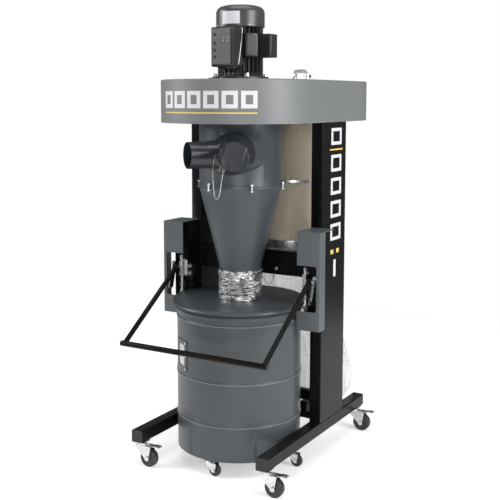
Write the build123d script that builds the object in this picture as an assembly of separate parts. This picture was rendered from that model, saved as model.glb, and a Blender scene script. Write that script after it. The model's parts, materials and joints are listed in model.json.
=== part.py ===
from build123d import *
import math
import os

# Portable two-stage dust collector: a cyclone over a roll-out drum, with a filter and bag behind it.
# Millimetres, +Z up, +X to the operator's right, the inlet faces -Y.
# Every piece is laid out about the cyclone's axis, and the export moves the whole machine so that
# the origin is under the middle of its footprint.

# --- frame -------------------------------------------------------------------------------------
LEG_X = 286.0              # centre of each leg and post from the cyclone's axis
LEG_SIZE = 50.0
LEG_WALL = 3.0
LEG_FRONT = -328.0
LEG_REAR = 557.0
LEG_Z = 100.0              # underside of the legs
POST_FRONT = 113.0
POST_REAR = 337.0
POST_WALL = 3.0
BEAM_Z = 750.0
BEAM_HEIGHT = 100.0
BEAM_DEPTH = 22.0
CROSSBAR_Y = 272.0
CROSSBAR_Z = 186.0
CROSSBAR_HEIGHT = 44.0
CROSSBAR_DEPTH = 26.0

# --- housing over the cyclone and the filter -----------------------------------------------------
HOUSING_Z = 1376.0
HOUSING_TOP = 1543.0
HOUSING_R = 316.0
HOUSING_REAR_Y = 468.0     # centre of the rear half-round
SHEET = 2.5

# --- cyclone -------------------------------------------------------------------------------------
BARREL_R = 165.0
BARREL_Z = 1126.0
OUTLET_R = 87.0
CONE_Z = 800.0             # the cone ends here and a straight collar follows
COLLAR_Z = 748.0
RIM_R = 171.0
RIM_HEIGHT = 7.0
FINDER_R = 80.0            # clean-air tube inside the barrel
INLET_X = 85.0
INLET_Z = 1261.0
INLET_R = 76.0
INLET_END = -196.0
SLEEVE_END = -167.0
INLET_WALL = 2.0

# --- two-branch inlet fitting --------------------------------------------------------------------
WYE_R = 79.0
WYE_MOUTH_R = 62.0         # where a branch leaves the knuckle
WYE_ORIGIN_Y = -223.0
BRANCH_R = 50.0
BRANCH_WALL = 3.0
BRANCH_ANGLE = 37.5
BRANCH_LENGTH = 168.0
BRANCH_TAPER = 105.0
CAP_GAP = 0.35
CAP_DEPTH = 42.0
CAP_WALL = 3.0

# --- hose and lid --------------------------------------------------------------------------------
LID_TOP = 665.0
LID_R = 270.0
LID_SKIRT = 17.0
LID_COLLAR_TOP = 688.0
HOSE_GAP = 0.4
LID_LIFT = 30.0

# --- drum ----------------------------------------------------------------------------------------
DRUM_Y = -10.0             # the drum and lid stand a little forward of the cyclone
DRUM_R = 252.0
DRUM_WALL = 2.0
DRUM_Z = 62.0
DRUM_TOP = 636.0
BEAD_HEIGHTS = (204.0, 375.0)
BEAD_R = 255.0
WINDOW_ANGLE = 235.0       # from +X, so 35 degrees to the left of the front
WINDOW_Z = 457.0
WINDOW_WIDTH = 68.0
WINDOW_HEIGHT = 94.0

# --- casters -------------------------------------------------------------------------------------
FRAME_CASTER_Y = (-302.0, 515.0)
FRAME_WHEEL_R = 37.5
DRUM_CASTER_RADIUS = 240.0
DRUM_CASTER_TURN = 2.0
DRUM_WHEEL_R = 25.0
AXLE_FIT = 0.06
PEDAL_X = 28.0             # pedal hinge, from the swivel axis
PEDAL_Z = 81.0
PEDAL_PIN_R = 2.0

# --- motor ---------------------------------------------------------------------------------------
MOTOR_R = 72.0
FIN_R = 90.0
FIN_COUNT = 28
MOTOR_FLANGE_R = 112.0
MOTOR_FLANGE = 12.0
FAN_COVER_R = 96.0
FAN_COVER_Z = 1748.0
MACHINE_TOP = 1832.0
SHAFT_R = 12.0
SWITCH_Z = 1590.0          # bottom of the control box

# --- filter and bag ------------------------------------------------------------------------------
FILTER_Y = 470.0
FILTER_R = 175.0
FILTER_CORE_R = 130.0
FILTER_Z = 850.0
PAN_Z = 800.0
CRANK_FIT = 0.05

# --- side covers and the lid's lift --------------------------------------------------------------
COVER_FRONT = -20.0
COVER_INNER = 268.0
COVER_OUTER = 365.0
COVER_Z = 567.0
COVER_TOP = 957.0
NOTCH_Z = 643.0
NOTCH_TOP = 824.0
NOTCH_OUTER = 352.0
BRACKET_FRONT = 28.0
LIFT_X = 292.0             # the rods that carry the lid
LIFT_Y = 8.0
PIVOT_Z = 762.0            # handle's axis, at y = 0
ARM_X = 314.0
ARM_R = 10.0
BAR_Y = -366.0
BAR_Z = 511.0
BAR_R = 11.0
LINK_Y = -27.0             # lower joint of the toggle link, on the handle
LINK_Z = 681.0

# Export shift: the middle of the footprint, from the cyclone's axis.
FRAME_X = 7.5
FRAME_Y = 198.88

os.makedirs("parts", exist_ok=True)
parts = {}


# --- small helpers -------------------------------------------------------------------------------
def block(x0, x1, y0, y1, z0, z1):
    """A box between two corners."""
    corner = (Align.MIN, Align.MIN, Align.MIN)
    return Pos(x0, y0, z0) * Box(x1 - x0, y1 - y0, z1 - z0, align=corner)


def disc(x, y, z0, z1, radius):
    """An upright cylinder."""
    low = (Align.CENTER, Align.CENTER, Align.MIN)
    return Pos(x, y, z0) * Cylinder(radius, z1 - z0, align=low)


def ring(x, y, z0, z1, outer, inner):
    """An upright tube."""
    return disc(x, y, z0, z1, outer) - disc(x, y, z0 - 1, z1 + 1, inner)


def rod_x(x0, x1, y, z, radius):
    """A cylinder along X."""
    return Pos((x0 + x1) / 2, y, z) * Rot(0, 90, 0) * Cylinder(radius, abs(x1 - x0))


def rod_y(x, y0, y1, z, radius):
    """A cylinder along Y."""
    return Pos(x, (y0 + y1) / 2, z) * Rot(90, 0, 0) * Cylinder(radius, abs(y1 - y0))


def turned(points, x=0.0, y=0.0):
    """A solid of revolution about the upright axis through x, y, from (radius, z) points."""
    outline = make_face(Plane.XZ * Polyline(*points, close=True))
    return Pos(x, y, 0) * revolve(outline, Axis.Z)


def plate_x(points, x0, x1):
    """A plate across X, from its (y, z) outline."""
    outline = make_face(Plane.YZ * Polyline(*points, close=True))
    return Pos(x0, 0, 0) * extrude(outline, x1 - x0, dir=(1, 0, 0))


def plate_y(points, y0, y1):
    """A plate across Y, from its (x, z) outline."""
    outline = make_face(Plane.XZ * Polyline(*points, close=True))
    return Pos(0, y0, 0) * extrude(outline, y1 - y0, dir=(0, 1, 0))


def mirrored(shape):
    """The same piece on the other side of the machine."""
    return mirror(shape, about=Plane.YZ)


def both_sides(shape):
    """Two separate solids, one on each side."""
    return shape + mirrored(shape)


def hex_bolt_z(x, y, z0, z1, radius):
    """A bolt head that stands up, with a thin washer under it."""
    low = (Align.CENTER, Align.CENTER, Align.MIN)
    head = extrude(RegularPolygon(radius * 1.8, 6), z1 - z0)
    washer = Cylinder(radius * 2.2, (z1 - z0) * 0.25, align=low)
    return Pos(x, y, z0) * (head + washer)


# --- frame ---------------------------------------------------------------------------------------
def leg():
    """Square tube that lies front to back and carries a post."""
    half = LEG_SIZE / 2
    top = LEG_Z + LEG_SIZE
    tube = block(LEG_X - half, LEG_X + half, LEG_FRONT, LEG_REAR, LEG_Z, top)
    tube = fillet(tube.edges().filter_by(Axis.Y), 5)
    hollow = block(LEG_X - half + LEG_WALL, LEG_X + half - LEG_WALL, LEG_FRONT - 1, LEG_REAR + 1,
                   LEG_Z + LEG_WALL, top - LEG_WALL)
    return tube - hollow


def leg_end_caps():
    """A plastic plug in each open end of the legs."""
    half = LEG_SIZE / 2
    caps = None
    for end, sign in ((LEG_FRONT, -1), (LEG_REAR, 1)):
        plate = block(LEG_X - half, LEG_X + half, min(end, end + 4 * sign), max(end, end + 4 * sign),
                      LEG_Z, LEG_Z + LEG_SIZE)
        plate = fillet(plate.edges().filter_by(Axis.Y), 5)
        inner = half - LEG_WALL
        plug = block(LEG_X - inner, LEG_X + inner, min(end, end - 18 * sign), max(end, end - 18 * sign),
                     LEG_Z + LEG_WALL, LEG_Z + LEG_SIZE - LEG_WALL)
        cap = both_sides(plate + plug)
        caps = cap if caps is None else caps + cap
    return caps


def post():
    """Deep sheet post, with the box that stands forward of it and carries the lift and the cover."""
    x0, x1 = LEG_X - LEG_SIZE / 2, LEG_X + LEG_SIZE / 2
    shell = block(x0, x1, POST_FRONT, POST_REAR, LEG_Z + LEG_SIZE, HOUSING_Z)
    shell = fillet(shell.edges().filter_by(Axis.Z), 4)
    shell -= block(x0 + POST_WALL, x1 - POST_WALL, POST_FRONT + POST_WALL, POST_REAR - POST_WALL,
                   LEG_Z + LEG_SIZE + 4, HOUSING_Z - 4)
    bracket_x0, bracket_x1 = 276.0, 340.0
    bracket = block(bracket_x0, bracket_x1, BRACKET_FRONT, POST_FRONT, COVER_Z + 20, COVER_TOP - SHEET)
    bracket -= block(bracket_x0 + 3, bracket_x1 - 3, BRACKET_FRONT + 3, POST_FRONT - 3,
                     COVER_Z + 23, COVER_TOP - SHEET - 3)
    return shell + bracket


def filter_beam():
    """Channel across the posts, behind the cone."""
    inner = LEG_X - LEG_SIZE / 2
    y1 = POST_FRONT + BEAM_DEPTH
    beam = block(-inner, inner, POST_FRONT, y1, BEAM_Z, BEAM_Z + BEAM_HEIGHT)
    return beam - block(-inner - 1, inner + 1, POST_FRONT + 3, y1 + 1, BEAM_Z + 3, BEAM_Z + BEAM_HEIGHT - 3)


def crossbars():
    """Upper bar between the posts, lower bar between the legs, and two stops that the drum meets."""
    inner = LEG_X - LEG_SIZE / 2
    y0, y1 = CROSSBAR_Y - CROSSBAR_DEPTH / 2, CROSSBAR_Y + CROSSBAR_DEPTH / 2
    upper = block(-inner, inner, y0, y1, CROSSBAR_Z, CROSSBAR_Z + CROSSBAR_HEIGHT)
    lower = block(-inner, inner, y0, y1, 105, 125)
    stop = block(150, 182, y0 - 12, y1 - 2, 125, 178)
    stop = fillet(stop.edges().filter_by(Axis.X), 3)
    return upper + lower + both_sides(stop)


# --- housing -------------------------------------------------------------------------------------
def obround(radius, z0, z1):
    """The housing's plan: half-rounds at the front and rear with straight sides."""
    front = disc(0, 0, z0, z1, radius)
    rear = disc(0, HOUSING_REAR_Y, z0, z1, radius)
    return front + rear + block(-radius, radius, 0, HOUSING_REAR_Y, z0, z1)


def housing_shell():
    """Side wall and top of the blower and filter housing."""
    outer = obround(HOUSING_R, HOUSING_Z, HOUSING_TOP)
    rim = [e for e in outer.edges() if abs(e.center().Z - HOUSING_TOP) < 0.1]
    outer = fillet(rim, 5)
    inner = obround(HOUSING_R - SHEET, HOUSING_Z - 1, HOUSING_TOP - SHEET)
    shell = outer - inner
    shell -= disc(0, 0, HOUSING_TOP - 10, HOUSING_TOP + 1, SHAFT_R + 8)
    return shell - disc(0, FILTER_Y, HOUSING_TOP - 10, HOUSING_TOP + 1, 8 + CRANK_FIT)


def housing_floor():
    """Bottom plate with the clean-air tube welded round its cyclone opening."""
    z1 = HOUSING_Z + SHEET
    plate = obround(HOUSING_R - SHEET, HOUSING_Z, z1)
    plate -= disc(0, 0, HOUSING_Z - 1, z1 + 1, FINDER_R - 2)
    plate -= disc(0, FILTER_Y, HOUSING_Z - 1, z1 + 1, FILTER_CORE_R)
    return plate + ring(0, 0, BARREL_Z + 40, HOUSING_Z, FINDER_R, FINDER_R - 2)


# --- cyclone -------------------------------------------------------------------------------------
def cyclone_barrel():
    """Upper cylinder with a tangential inlet duct and a rolled rim below."""
    z0, z1 = BARREL_Z, HOUSING_Z
    barrel = disc(0, 0, z0, z1, BARREL_R) + disc(0, 0, z0, z0 + RIM_HEIGHT, RIM_R)
    duct = rod_y(INLET_X, INLET_END, 0, INLET_Z, INLET_R)
    bore = rod_y(INLET_X, INLET_END - 1, 0, INLET_Z, INLET_R - INLET_WALL)
    return barrel + duct - disc(0, 0, z0 - 1, z1 + 1, BARREL_R - 2) - bore


def cyclone_cone():
    """Cone that narrows to the collar the hose fits on."""
    outer = [(RIM_R, BARREL_Z), (RIM_R, BARREL_Z - RIM_HEIGHT), (BARREL_R, BARREL_Z - RIM_HEIGHT),
             (OUTLET_R, CONE_Z), (OUTLET_R, COLLAR_Z)]
    inner = [(OUTLET_R - 2, COLLAR_Z), (OUTLET_R - 2, CONE_Z), (BARREL_R - 2, BARREL_Z)]
    return turned(outer + inner)


# --- inlet fitting -------------------------------------------------------------------------------
def branch_place(side, distance):
    """Where a branch of the fitting is, and which way it points."""
    angle = math.radians(BRANCH_ANGLE) * side
    along = Vector(math.sin(angle), -math.cos(angle), 0)
    origin = Vector(INLET_X, WYE_ORIGIN_Y, INLET_Z) + along * distance
    return Plane(origin=origin, x_dir=(0, 0, 1), z_dir=along)


def wye_solid(trunk_r, mouth_r, branch_r, trunk_end, length):
    """Trunk, round knuckle and two tapering branches as one solid."""
    low = (Align.CENTER, Align.CENTER, Align.MIN)
    solid = rod_y(INLET_X, WYE_ORIGIN_Y, trunk_end, INLET_Z, trunk_r)
    solid += Pos(INLET_X, WYE_ORIGIN_Y, INLET_Z) * Sphere(trunk_r + 0.5)
    for side in (-1, 1):
        solid += branch_place(side, 0) * Cone(mouth_r, branch_r, BRANCH_TAPER, align=low)
        solid += branch_place(side, BRANCH_TAPER) * Cylinder(branch_r, length - BRANCH_TAPER, align=low)
    return solid


def inlet_wye():
    """Sleeve over the inlet duct that splits into two hose ports."""
    outer = wye_solid(WYE_R, WYE_MOUTH_R, BRANCH_R, SLEEVE_END, BRANCH_LENGTH)
    inner = wye_solid(INLET_R - 3, WYE_MOUTH_R - 3, BRANCH_R - BRANCH_WALL, INLET_END + 1, BRANCH_LENGTH + 1)
    socket = rod_y(INLET_X, INLET_END, SLEEVE_END + 1, INLET_Z, INLET_R + 0.1)
    fitting = outer - inner - socket
    return fitting.solids().sort_by(SortBy.VOLUME)[-1]


def port_cap():
    """Push-on cap over the right-hand port."""
    low = (Align.CENTER, Align.CENTER, Align.MIN)
    start = BRANCH_LENGTH + CAP_GAP + CAP_WALL - CAP_DEPTH
    inner_r = BRANCH_R + CAP_GAP
    body = Cylinder(inner_r + CAP_WALL, CAP_DEPTH, align=low)
    body += Cylinder(inner_r + CAP_WALL + 1.5, 5, align=low)
    body -= Pos(0, 0, -1) * Cylinder(inner_r, CAP_DEPTH - CAP_WALL + 1, align=low)
    return branch_place(1, start) * body


# --- hose and lid --------------------------------------------------------------------------------
def lid():
    """Flat lid with a turned-down skirt, a hose collar and a lug on each side for the lift."""
    skirt_z = LID_TOP - LID_SKIRT
    top = turned([(0, LID_TOP - 3), (0, LID_TOP), (LID_R - 3, LID_TOP), (LID_R - 3, skirt_z + 3),
                  (LID_R, skirt_z + 3), (LID_R, skirt_z), (LID_R - 5, skirt_z), (LID_R - 5, LID_TOP - 3)],
                 0, DRUM_Y)
    top += disc(0, 0, LID_TOP - 3, LID_COLLAR_TOP, OUTLET_R)
    top -= disc(0, 0, LID_TOP - 4, LID_COLLAR_TOP + 1, OUTLET_R - 2)
    lug = block(LID_R - 8, LIFT_X + 12, LIFT_Y - 12, LIFT_Y + 12, skirt_z + 4, skirt_z + 8)
    lug -= disc(0, DRUM_Y, skirt_z, skirt_z + 12, LID_R - 4)
    hole = disc(LIFT_X, LIFT_Y, skirt_z, skirt_z + 12, 5)
    return top + both_sides(lug - hole)


def lift_rods():
    """Two rods on the lid's lugs, each with an eye at the top and nuts either side of the lug."""
    lug_z = LID_TOP - LID_SKIRT + 4
    rod = disc(LIFT_X, LIFT_Y, lug_z + 4, 800, 6)
    rod += disc(LIFT_X, LIFT_Y, lug_z - 12, lug_z + 4, 4.9)
    rod += Pos(LIFT_X, LIFT_Y, lug_z - 10) * extrude(RegularPolygon(9, 6), 10)
    rod += Pos(LIFT_X, LIFT_Y, lug_z + 4) * extrude(RegularPolygon(10, 6), 9)
    rod += Pos(LIFT_X, LIFT_Y, 684) * extrude(RegularPolygon(9.5, 6), 8)
    eye = rod_x(LIFT_X - 4, LIFT_X + 4, LIFT_Y, 806, 9) + block(LIFT_X - 4, LIFT_X + 4, LIFT_Y - 9,
                                                               LIFT_Y + 9, 794, 806)
    return both_sides(rod + eye - rod_x(LIFT_X - 6, LIFT_X + 6, LIFT_Y, 806, 4))


def lift_guides():
    """Galvanised guide blocks on the brackets, each bored for its rod."""
    z0, z1 = 726.0, 787.0
    guide = block(LIFT_X - 9, LIFT_X + 7, LIFT_Y - 12, BRACKET_FRONT, z0, z1)
    guide = fillet(guide.edges().filter_by(Axis.Z), 2)
    foot = block(276, LIFT_X + 7, BRACKET_FRONT - 4, BRACKET_FRONT, z0 - 6, z1 + 6)
    guide += foot
    return both_sides(guide - disc(LIFT_X, LIFT_Y, z0 - 7, z1 + 7, 6 + AXLE_FIT))


# --- handle --------------------------------------------------------------------------------------
def handle_bail():
    """Tube handle: two arms and a cross bar, an eye on each arm and a lug for the link."""
    eye = rod_x(ARM_X - ARM_R, ARM_X + ARM_R, 0, PIVOT_Z, 13)
    along = Vector(0, BAR_Y, BAR_Z - PIVOT_Z)
    top = Plane(origin=(ARM_X, 0, PIVOT_Z), z_dir=along)
    low = (Align.CENTER, Align.CENTER, Align.MIN)
    arm = top * Cylinder(ARM_R, along.length, align=low)
    arm -= top * Pos(0, 0, 18) * Cylinder(ARM_R - 1.8, along.length - 18 - BAR_R - 4, align=low)
    out = ARM_X + ARM_R
    lug = plate_x([(-11, PIVOT_Z + 9), (11, PIVOT_Z + 7), (LINK_Y + 11, LINK_Z - 4),
                   (LINK_Y - 3, LINK_Z - 11), (LINK_Y - 12, LINK_Z)], out - 2, out + 3.7)
    pin = rod_x(out + 1, out + 8, LINK_Y, LINK_Z, 4) + rod_x(out + 8, out + 12, LINK_Y, LINK_Z, 7)
    side = arm + eye + lug + pin - rod_x(ARM_X - 20, ARM_X + 20, 0, PIVOT_Z, 5 + AXLE_FIT)
    bar = rod_x(-out - 3, out + 3, BAR_Y, BAR_Z, BAR_R)
    bar -= rod_x(ARM_R + 4 - ARM_X, ARM_X - ARM_R - 4, BAR_Y, BAR_Z, BAR_R - 1.8)
    return bar + side + mirrored(side)


def toggle_links():
    """Galvanised link on each side, from the handle's lug up towards the rod."""
    x0, x1 = ARM_X + ARM_R + 4.1, ARM_X + ARM_R + 7.6
    top_y, top_z = LIFT_Y, 774.0
    dy, dz = top_y - LINK_Y, top_z - LINK_Z
    length = math.hypot(dy, dz)
    ny, nz = -dz / length * 8, dy / length * 8
    bar = plate_x([(LINK_Y + ny, LINK_Z + nz), (top_y + ny, top_z + nz), (top_y - ny, top_z - nz),
                   (LINK_Y - ny, LINK_Z - nz)], x0, x1)
    bar += rod_x(x0, x1, LINK_Y, LINK_Z, 8) + rod_x(x0, x1, top_y, top_z, 8)
    bar -= rod_x(x0 - 1, x1 + 1, LINK_Y, LINK_Z, 4 + AXLE_FIT)
    return both_sides(bar + rod_x(x1, x1 + 5, top_y, top_z, 5.5))


# --- side covers ---------------------------------------------------------------------------------
def side_covers():
    """Folded sheet cover over each lift, notched where the handle comes out."""
    y0 = COVER_FRONT
    front = block(COVER_INNER, COVER_OUTER, y0, y0 + 1.5, COVER_Z, COVER_TOP)
    notch = block(COVER_INNER - 20, NOTCH_OUTER, y0 - 5, y0 + 10, NOTCH_Z, NOTCH_TOP)
    notch = fillet(notch.edges().filter_by(Axis.Y), 8)
    cover = front - notch
    cover += block(COVER_OUTER - 1.5, COVER_OUTER, y0, BRACKET_FRONT + 4, COVER_Z, COVER_TOP)
    cover += block(COVER_INNER, COVER_OUTER, y0, POST_FRONT, COVER_TOP - SHEET, COVER_TOP)
    cover += block(COVER_INNER + 8, COVER_OUTER, y0, BRACKET_FRONT, COVER_Z, COVER_Z + 1.5)
    return both_sides(cover)


# --- drum ----------------------------------------------------------------------------------------
def drum():
    """Open steel drum with two beads, a rolled top rim and a caster plate under each caster."""
    outer = turned([(0, DRUM_Z), (DRUM_R, DRUM_Z), (DRUM_R, DRUM_TOP), (0, DRUM_TOP)])
    for height in BEAD_HEIGHTS:
        outer += turned([(DRUM_R - 1, height - 5), (BEAD_R, height - 2), (BEAD_R, height + 2),
                         (DRUM_R - 1, height + 5)])
    outer += turned([(DRUM_R - 1, DRUM_TOP - 14), (BEAD_R + 1, DRUM_TOP - 10), (BEAD_R + 1, DRUM_TOP),
                     (DRUM_R - 1, DRUM_TOP)])
    body = outer - disc(0, 0, DRUM_Z + DRUM_WALL, DRUM_TOP + 1, DRUM_R - DRUM_WALL)
    body -= window_block(WINDOW_WIDTH, WINDOW_HEIGHT)
    for x, y in drum_caster_places():
        plate = block(x - 19, x + 19, y - 19, y + 19, DRUM_Z - 2.5, DRUM_Z)
        plate &= disc(0, 0, DRUM_Z - 3, DRUM_Z, DRUM_R)
        body += plate - disc(x, y, DRUM_Z - 3, DRUM_Z, 4 + AXLE_FIT)
    return Pos(0, DRUM_Y, 0) * body


def window_block(width, height):
    """A block through the drum's wall at the sight window."""
    block_out = Pos(DRUM_R, 0, WINDOW_Z) * Box(40, width, height)
    return Rot(0, 0, WINDOW_ANGLE) * block_out


def sight_window():
    """Clear pane that fills the opening in the drum's wall."""
    wall = ring(0, 0, WINDOW_Z - 100, WINDOW_Z + 100, DRUM_R, DRUM_R - DRUM_WALL)
    return Pos(0, DRUM_Y, 0) * (wall & window_block(WINDOW_WIDTH, WINDOW_HEIGHT))


def window_frame():
    """Curved frame round the pane, with a screw at each corner and each side."""
    wall = ring(0, 0, WINDOW_Z - 100, WINDOW_Z + 100, DRUM_R + 3, DRUM_R)
    frame = (wall & window_block(WINDOW_WIDTH + 28, WINDOW_HEIGHT + 28))
    frame -= window_block(WINDOW_WIDTH - 6, WINDOW_HEIGHT - 6)
    half = (WINDOW_WIDTH + 14) / 2
    for rise in (-52, 0, 52):
        for side in (-1, 1):
            turn = math.degrees(half / DRUM_R) * side
            screw = Pos(DRUM_R + 3.4, 0, WINDOW_Z + rise) * Rot(0, 90, 0) * Cylinder(4, 3)
            frame += Rot(0, 0, WINDOW_ANGLE + turn) * screw
    return Pos(0, DRUM_Y, 0) * frame


# --- casters -------------------------------------------------------------------------------------
def caster_fork(x, y, wheel_r, trail, top, head, width, pin_r):
    """Swivel head, two tapered cheeks that trail to +X, and the axle between them."""
    axle_x = x + trail
    head_r = width * 0.62
    crown_z = top - head
    half = width / 2
    fork = disc(x, y, crown_z, top, head_r) + disc(x, y, top, top + 2.2, pin_r)
    front, reach = x - head_r * 0.9, axle_x + wheel_r * 0.42
    fork += block(front, x + head_r, y - half - 2.5, y + half + 2.5, crown_z - 3, crown_z)
    for side in (-1, 1):
        y0 = y + half if side > 0 else y - half - 2.5
        fork += plate_y([(front, crown_z), (reach, crown_z), (reach, crown_z - 6),
                         (axle_x + 7, wheel_r - 6), (axle_x - 7, wheel_r - 6), (front, crown_z - 8)],
                        y0, y0 + 2.5)
    return fork + rod_y(axle_x, y - half - 5, y + half + 5, wheel_r, pin_r)


def caster_wheel(x, y, wheel_r, trail, width, pin_r):
    """Tyre with a stepped hub and a bore that turns on the axle."""
    tread = width / 2 - 3
    outline = [(pin_r + AXLE_FIT, -tread), (wheel_r * 0.35, -tread), (wheel_r * 0.42, -tread + 2),
               (wheel_r * 0.62, -tread + 2), (wheel_r * 0.7, -tread), (wheel_r - 2.5, -tread),
               (wheel_r, -tread + 3), (wheel_r, tread - 3), (wheel_r - 2.5, tread), (wheel_r * 0.7, tread),
               (wheel_r * 0.62, tread - 2), (wheel_r * 0.42, tread - 2), (wheel_r * 0.35, tread),
               (pin_r + AXLE_FIT, tread)]
    return Pos(x + trail, y, wheel_r) * Rot(90, 0, 0) * turned(outline)


def brake_pedal(x, y):
    """Sheet pedal hinged between the cheeks that reaches back over the wheel."""
    hinge_x, half = x + PEDAL_X, 14.0
    outline = [(hinge_x, PEDAL_Z + 1), (hinge_x, PEDAL_Z + 4), (x + 80, PEDAL_Z + 11), (x + 94, PEDAL_Z + 8),
               (x + 94, PEDAL_Z + 5.5), (x + 80, PEDAL_Z + 8.5)]
    pedal = plate_y(outline, y - half, y + half) + rod_y(hinge_x, y - half, y + half, PEDAL_Z, 4)
    return pedal - rod_y(hinge_x, y - half - 1, y + half + 1, PEDAL_Z, PEDAL_PIN_R + AXLE_FIT)


def frame_casters():
    """Four braked swivel casters under the legs."""
    plates = None
    number = 0
    for caster_y in FRAME_CASTER_Y:
        for side in (-1, 1):
            number += 1
            x = side * LEG_X
            plate = block(x - 25, x + 25, caster_y - 26, caster_y + 26, 96, LEG_Z)
            plate -= disc(x, caster_y, 95, LEG_Z + 1, 6 + AXLE_FIT)
            plates = plate if plates is None else plates + plate
            fork = caster_fork(x, caster_y, FRAME_WHEEL_R, 40, 95.6, 9, 32, 6)
            fork += rod_y(x + PEDAL_X, caster_y - 17, caster_y + 17, PEDAL_Z, PEDAL_PIN_R)
            parts[f"caster_fork_{number}"] = fork
            parts[f"caster_wheel_{number}"] = caster_wheel(x, caster_y, FRAME_WHEEL_R, 40, 32, 6)
            parts[f"brake_pedal_{number}"] = brake_pedal(x, caster_y)
    parts["caster_plates"] = plates


def drum_caster_places():
    """The swivel axes under the drum."""
    places = []
    for k in range(4):
        angle = math.radians(DRUM_CASTER_TURN + 90 * k)
        places.append((DRUM_CASTER_RADIUS * math.cos(angle), DRUM_CASTER_RADIUS * math.sin(angle)))
    return places


def drum_casters():
    """Four small swivel casters under the drum."""
    for number, (x, y) in enumerate(drum_caster_places(), 1):
        y += DRUM_Y
        parts[f"drum_fork_{number}"] = caster_fork(x, y, DRUM_WHEEL_R, 24, DRUM_Z - 2.9, 5, 22, 4)
        parts[f"drum_wheel_{number}"] = caster_wheel(x, y, DRUM_WHEEL_R, 24, 22, 4)


# --- motor ---------------------------------------------------------------------------------------
def motor_body():
    """Stator frame with cooling fins over a round base flange."""
    z0, z1 = HOUSING_TOP, FAN_COVER_Z
    body = disc(0, 0, z0 + MOTOR_FLANGE, z1, MOTOR_R) + disc(0, 0, z0, z0 + MOTOR_FLANGE, MOTOR_FLANGE_R)
    body += disc(0, 0, z0 + MOTOR_FLANGE, z0 + MOTOR_FLANGE + 16, FIN_R)
    fin = block(MOTOR_R - 3, FIN_R, -1.3, 1.3, z0 + MOTOR_FLANGE, z1)
    for k in range(FIN_COUNT):
        body += Rot(0, 0, 360 / FIN_COUNT * k) * fin
    return body - disc(0, 0, z0 - 1, z1 + 1, SHAFT_R + AXLE_FIT)


def fan_cover():
    """Domed cowl over the cooling fan."""
    z0, z1 = FAN_COVER_Z, MACHINE_TOP
    outline = [(FAN_COVER_R - 2, z0), (FAN_COVER_R, z0), (FAN_COVER_R, z1 - 26), (FAN_COVER_R - 5, z1 - 14),
               (FAN_COVER_R - 16, z1 - 5), (FAN_COVER_R - 34, z1), (0, z1), (0, z1 - 2),
               (FAN_COVER_R - 35, z1 - 2), (FAN_COVER_R - 18, z1 - 7), (FAN_COVER_R - 7, z1 - 15),
               (FAN_COVER_R - 2, z1 - 27)]
    cover = turned(outline)
    return cover + ring(0, 0, z0, z0 + 2, FAN_COVER_R - 1, MOTOR_R + 4)


def motor_shaft():
    """Shaft through the motor, with the plastic cooling fan at its top."""
    shaft = disc(0, 0, HOUSING_Z + 62, MACHINE_TOP - 22, SHAFT_R)
    hub = disc(0, 0, MACHINE_TOP - 70, MACHINE_TOP - 40, 26)
    for k in range(6):
        hub += Rot(0, 0, 60 * k) * block(20, 78, -1.5, 1.5, MACHINE_TOP - 68, MACHINE_TOP - 36)
    return shaft + hub


def impeller():
    """Backward-straight impeller inside the housing, bored for the shaft."""
    z0 = HOUSING_Z + 24
    wheel = disc(0, 0, z0 + 70, z0 + 73, 150) + disc(0, 0, z0 + 38, z0 + 70, 26)
    wheel += ring(0, 0, z0, z0 + 3, 150, 84)
    for k in range(8):
        wheel += Rot(0, 0, 45 * k) * block(80, 148, -1.5, 1.5, z0 + 1, z0 + 71)
    return wheel - disc(0, 0, z0 - 1, z0 + 80, SHAFT_R)


def capacitor_covers():
    """Two pressed covers on the motor's right-hand side."""
    covers = None
    for angle, reach in ((-42, 150), (-3, 158)):
        cover = block(FIN_R - 12, reach, -26, 26, 1628, 1718)
        cover = fillet(cover.edges().group_by(Axis.X)[-1], 9)
        cover -= disc(0, 0, 1600, 1740, FIN_R + 0.3)
        turned_cover = Rot(0, 0, angle) * cover
        covers = turned_cover if covers is None else covers + turned_cover
    return covers


def switch_box():
    """Control box with a face plate, held on the motor's front by an angle, with its gland below."""
    x0, x1, z0, z1 = -30.0, 68.0, SWITCH_Z, 1740.0
    box = block(x0, x1, -168, -108, z0, z1)
    box = fillet(box.edges().filter_by(Axis.Y), 7)
    bracket = block(x0 + 20, x1 + 4, -108, -104, z0 + 4, z1 - 6)
    bracket += block(20, 26, -104, -FIN_R - 0.5, z0 + 20, z1 - 20)
    gland = disc(0, -140, z0 - 17, z0, 9) + disc(0, -140, z0 - 8, z0, 12)
    return box + bracket + gland


# --- filter --------------------------------------------------------------------------------------
def filter_element():
    """Pleated cartridge as one hollow cylinder."""
    return ring(0, FILTER_Y, FILTER_Z, HOUSING_Z, FILTER_R, FILTER_CORE_R)


def filter_pan():
    """Bottom pan under the cartridge that the bag is clamped on: a lipped plate and its skirt."""
    plate = ring(0, FILTER_Y, FILTER_Z - 3, FILTER_Z, FILTER_R + 3, FILTER_CORE_R)
    lip = ring(0, FILTER_Y, FILTER_Z - 12, FILTER_Z - 3, FILTER_R + 3, FILTER_R)
    skirt = ring(0, FILTER_Y, PAN_Z, FILTER_Z - 3, FILTER_R, FILTER_R - 2)
    return Compound([plate + lip, skirt])


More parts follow.
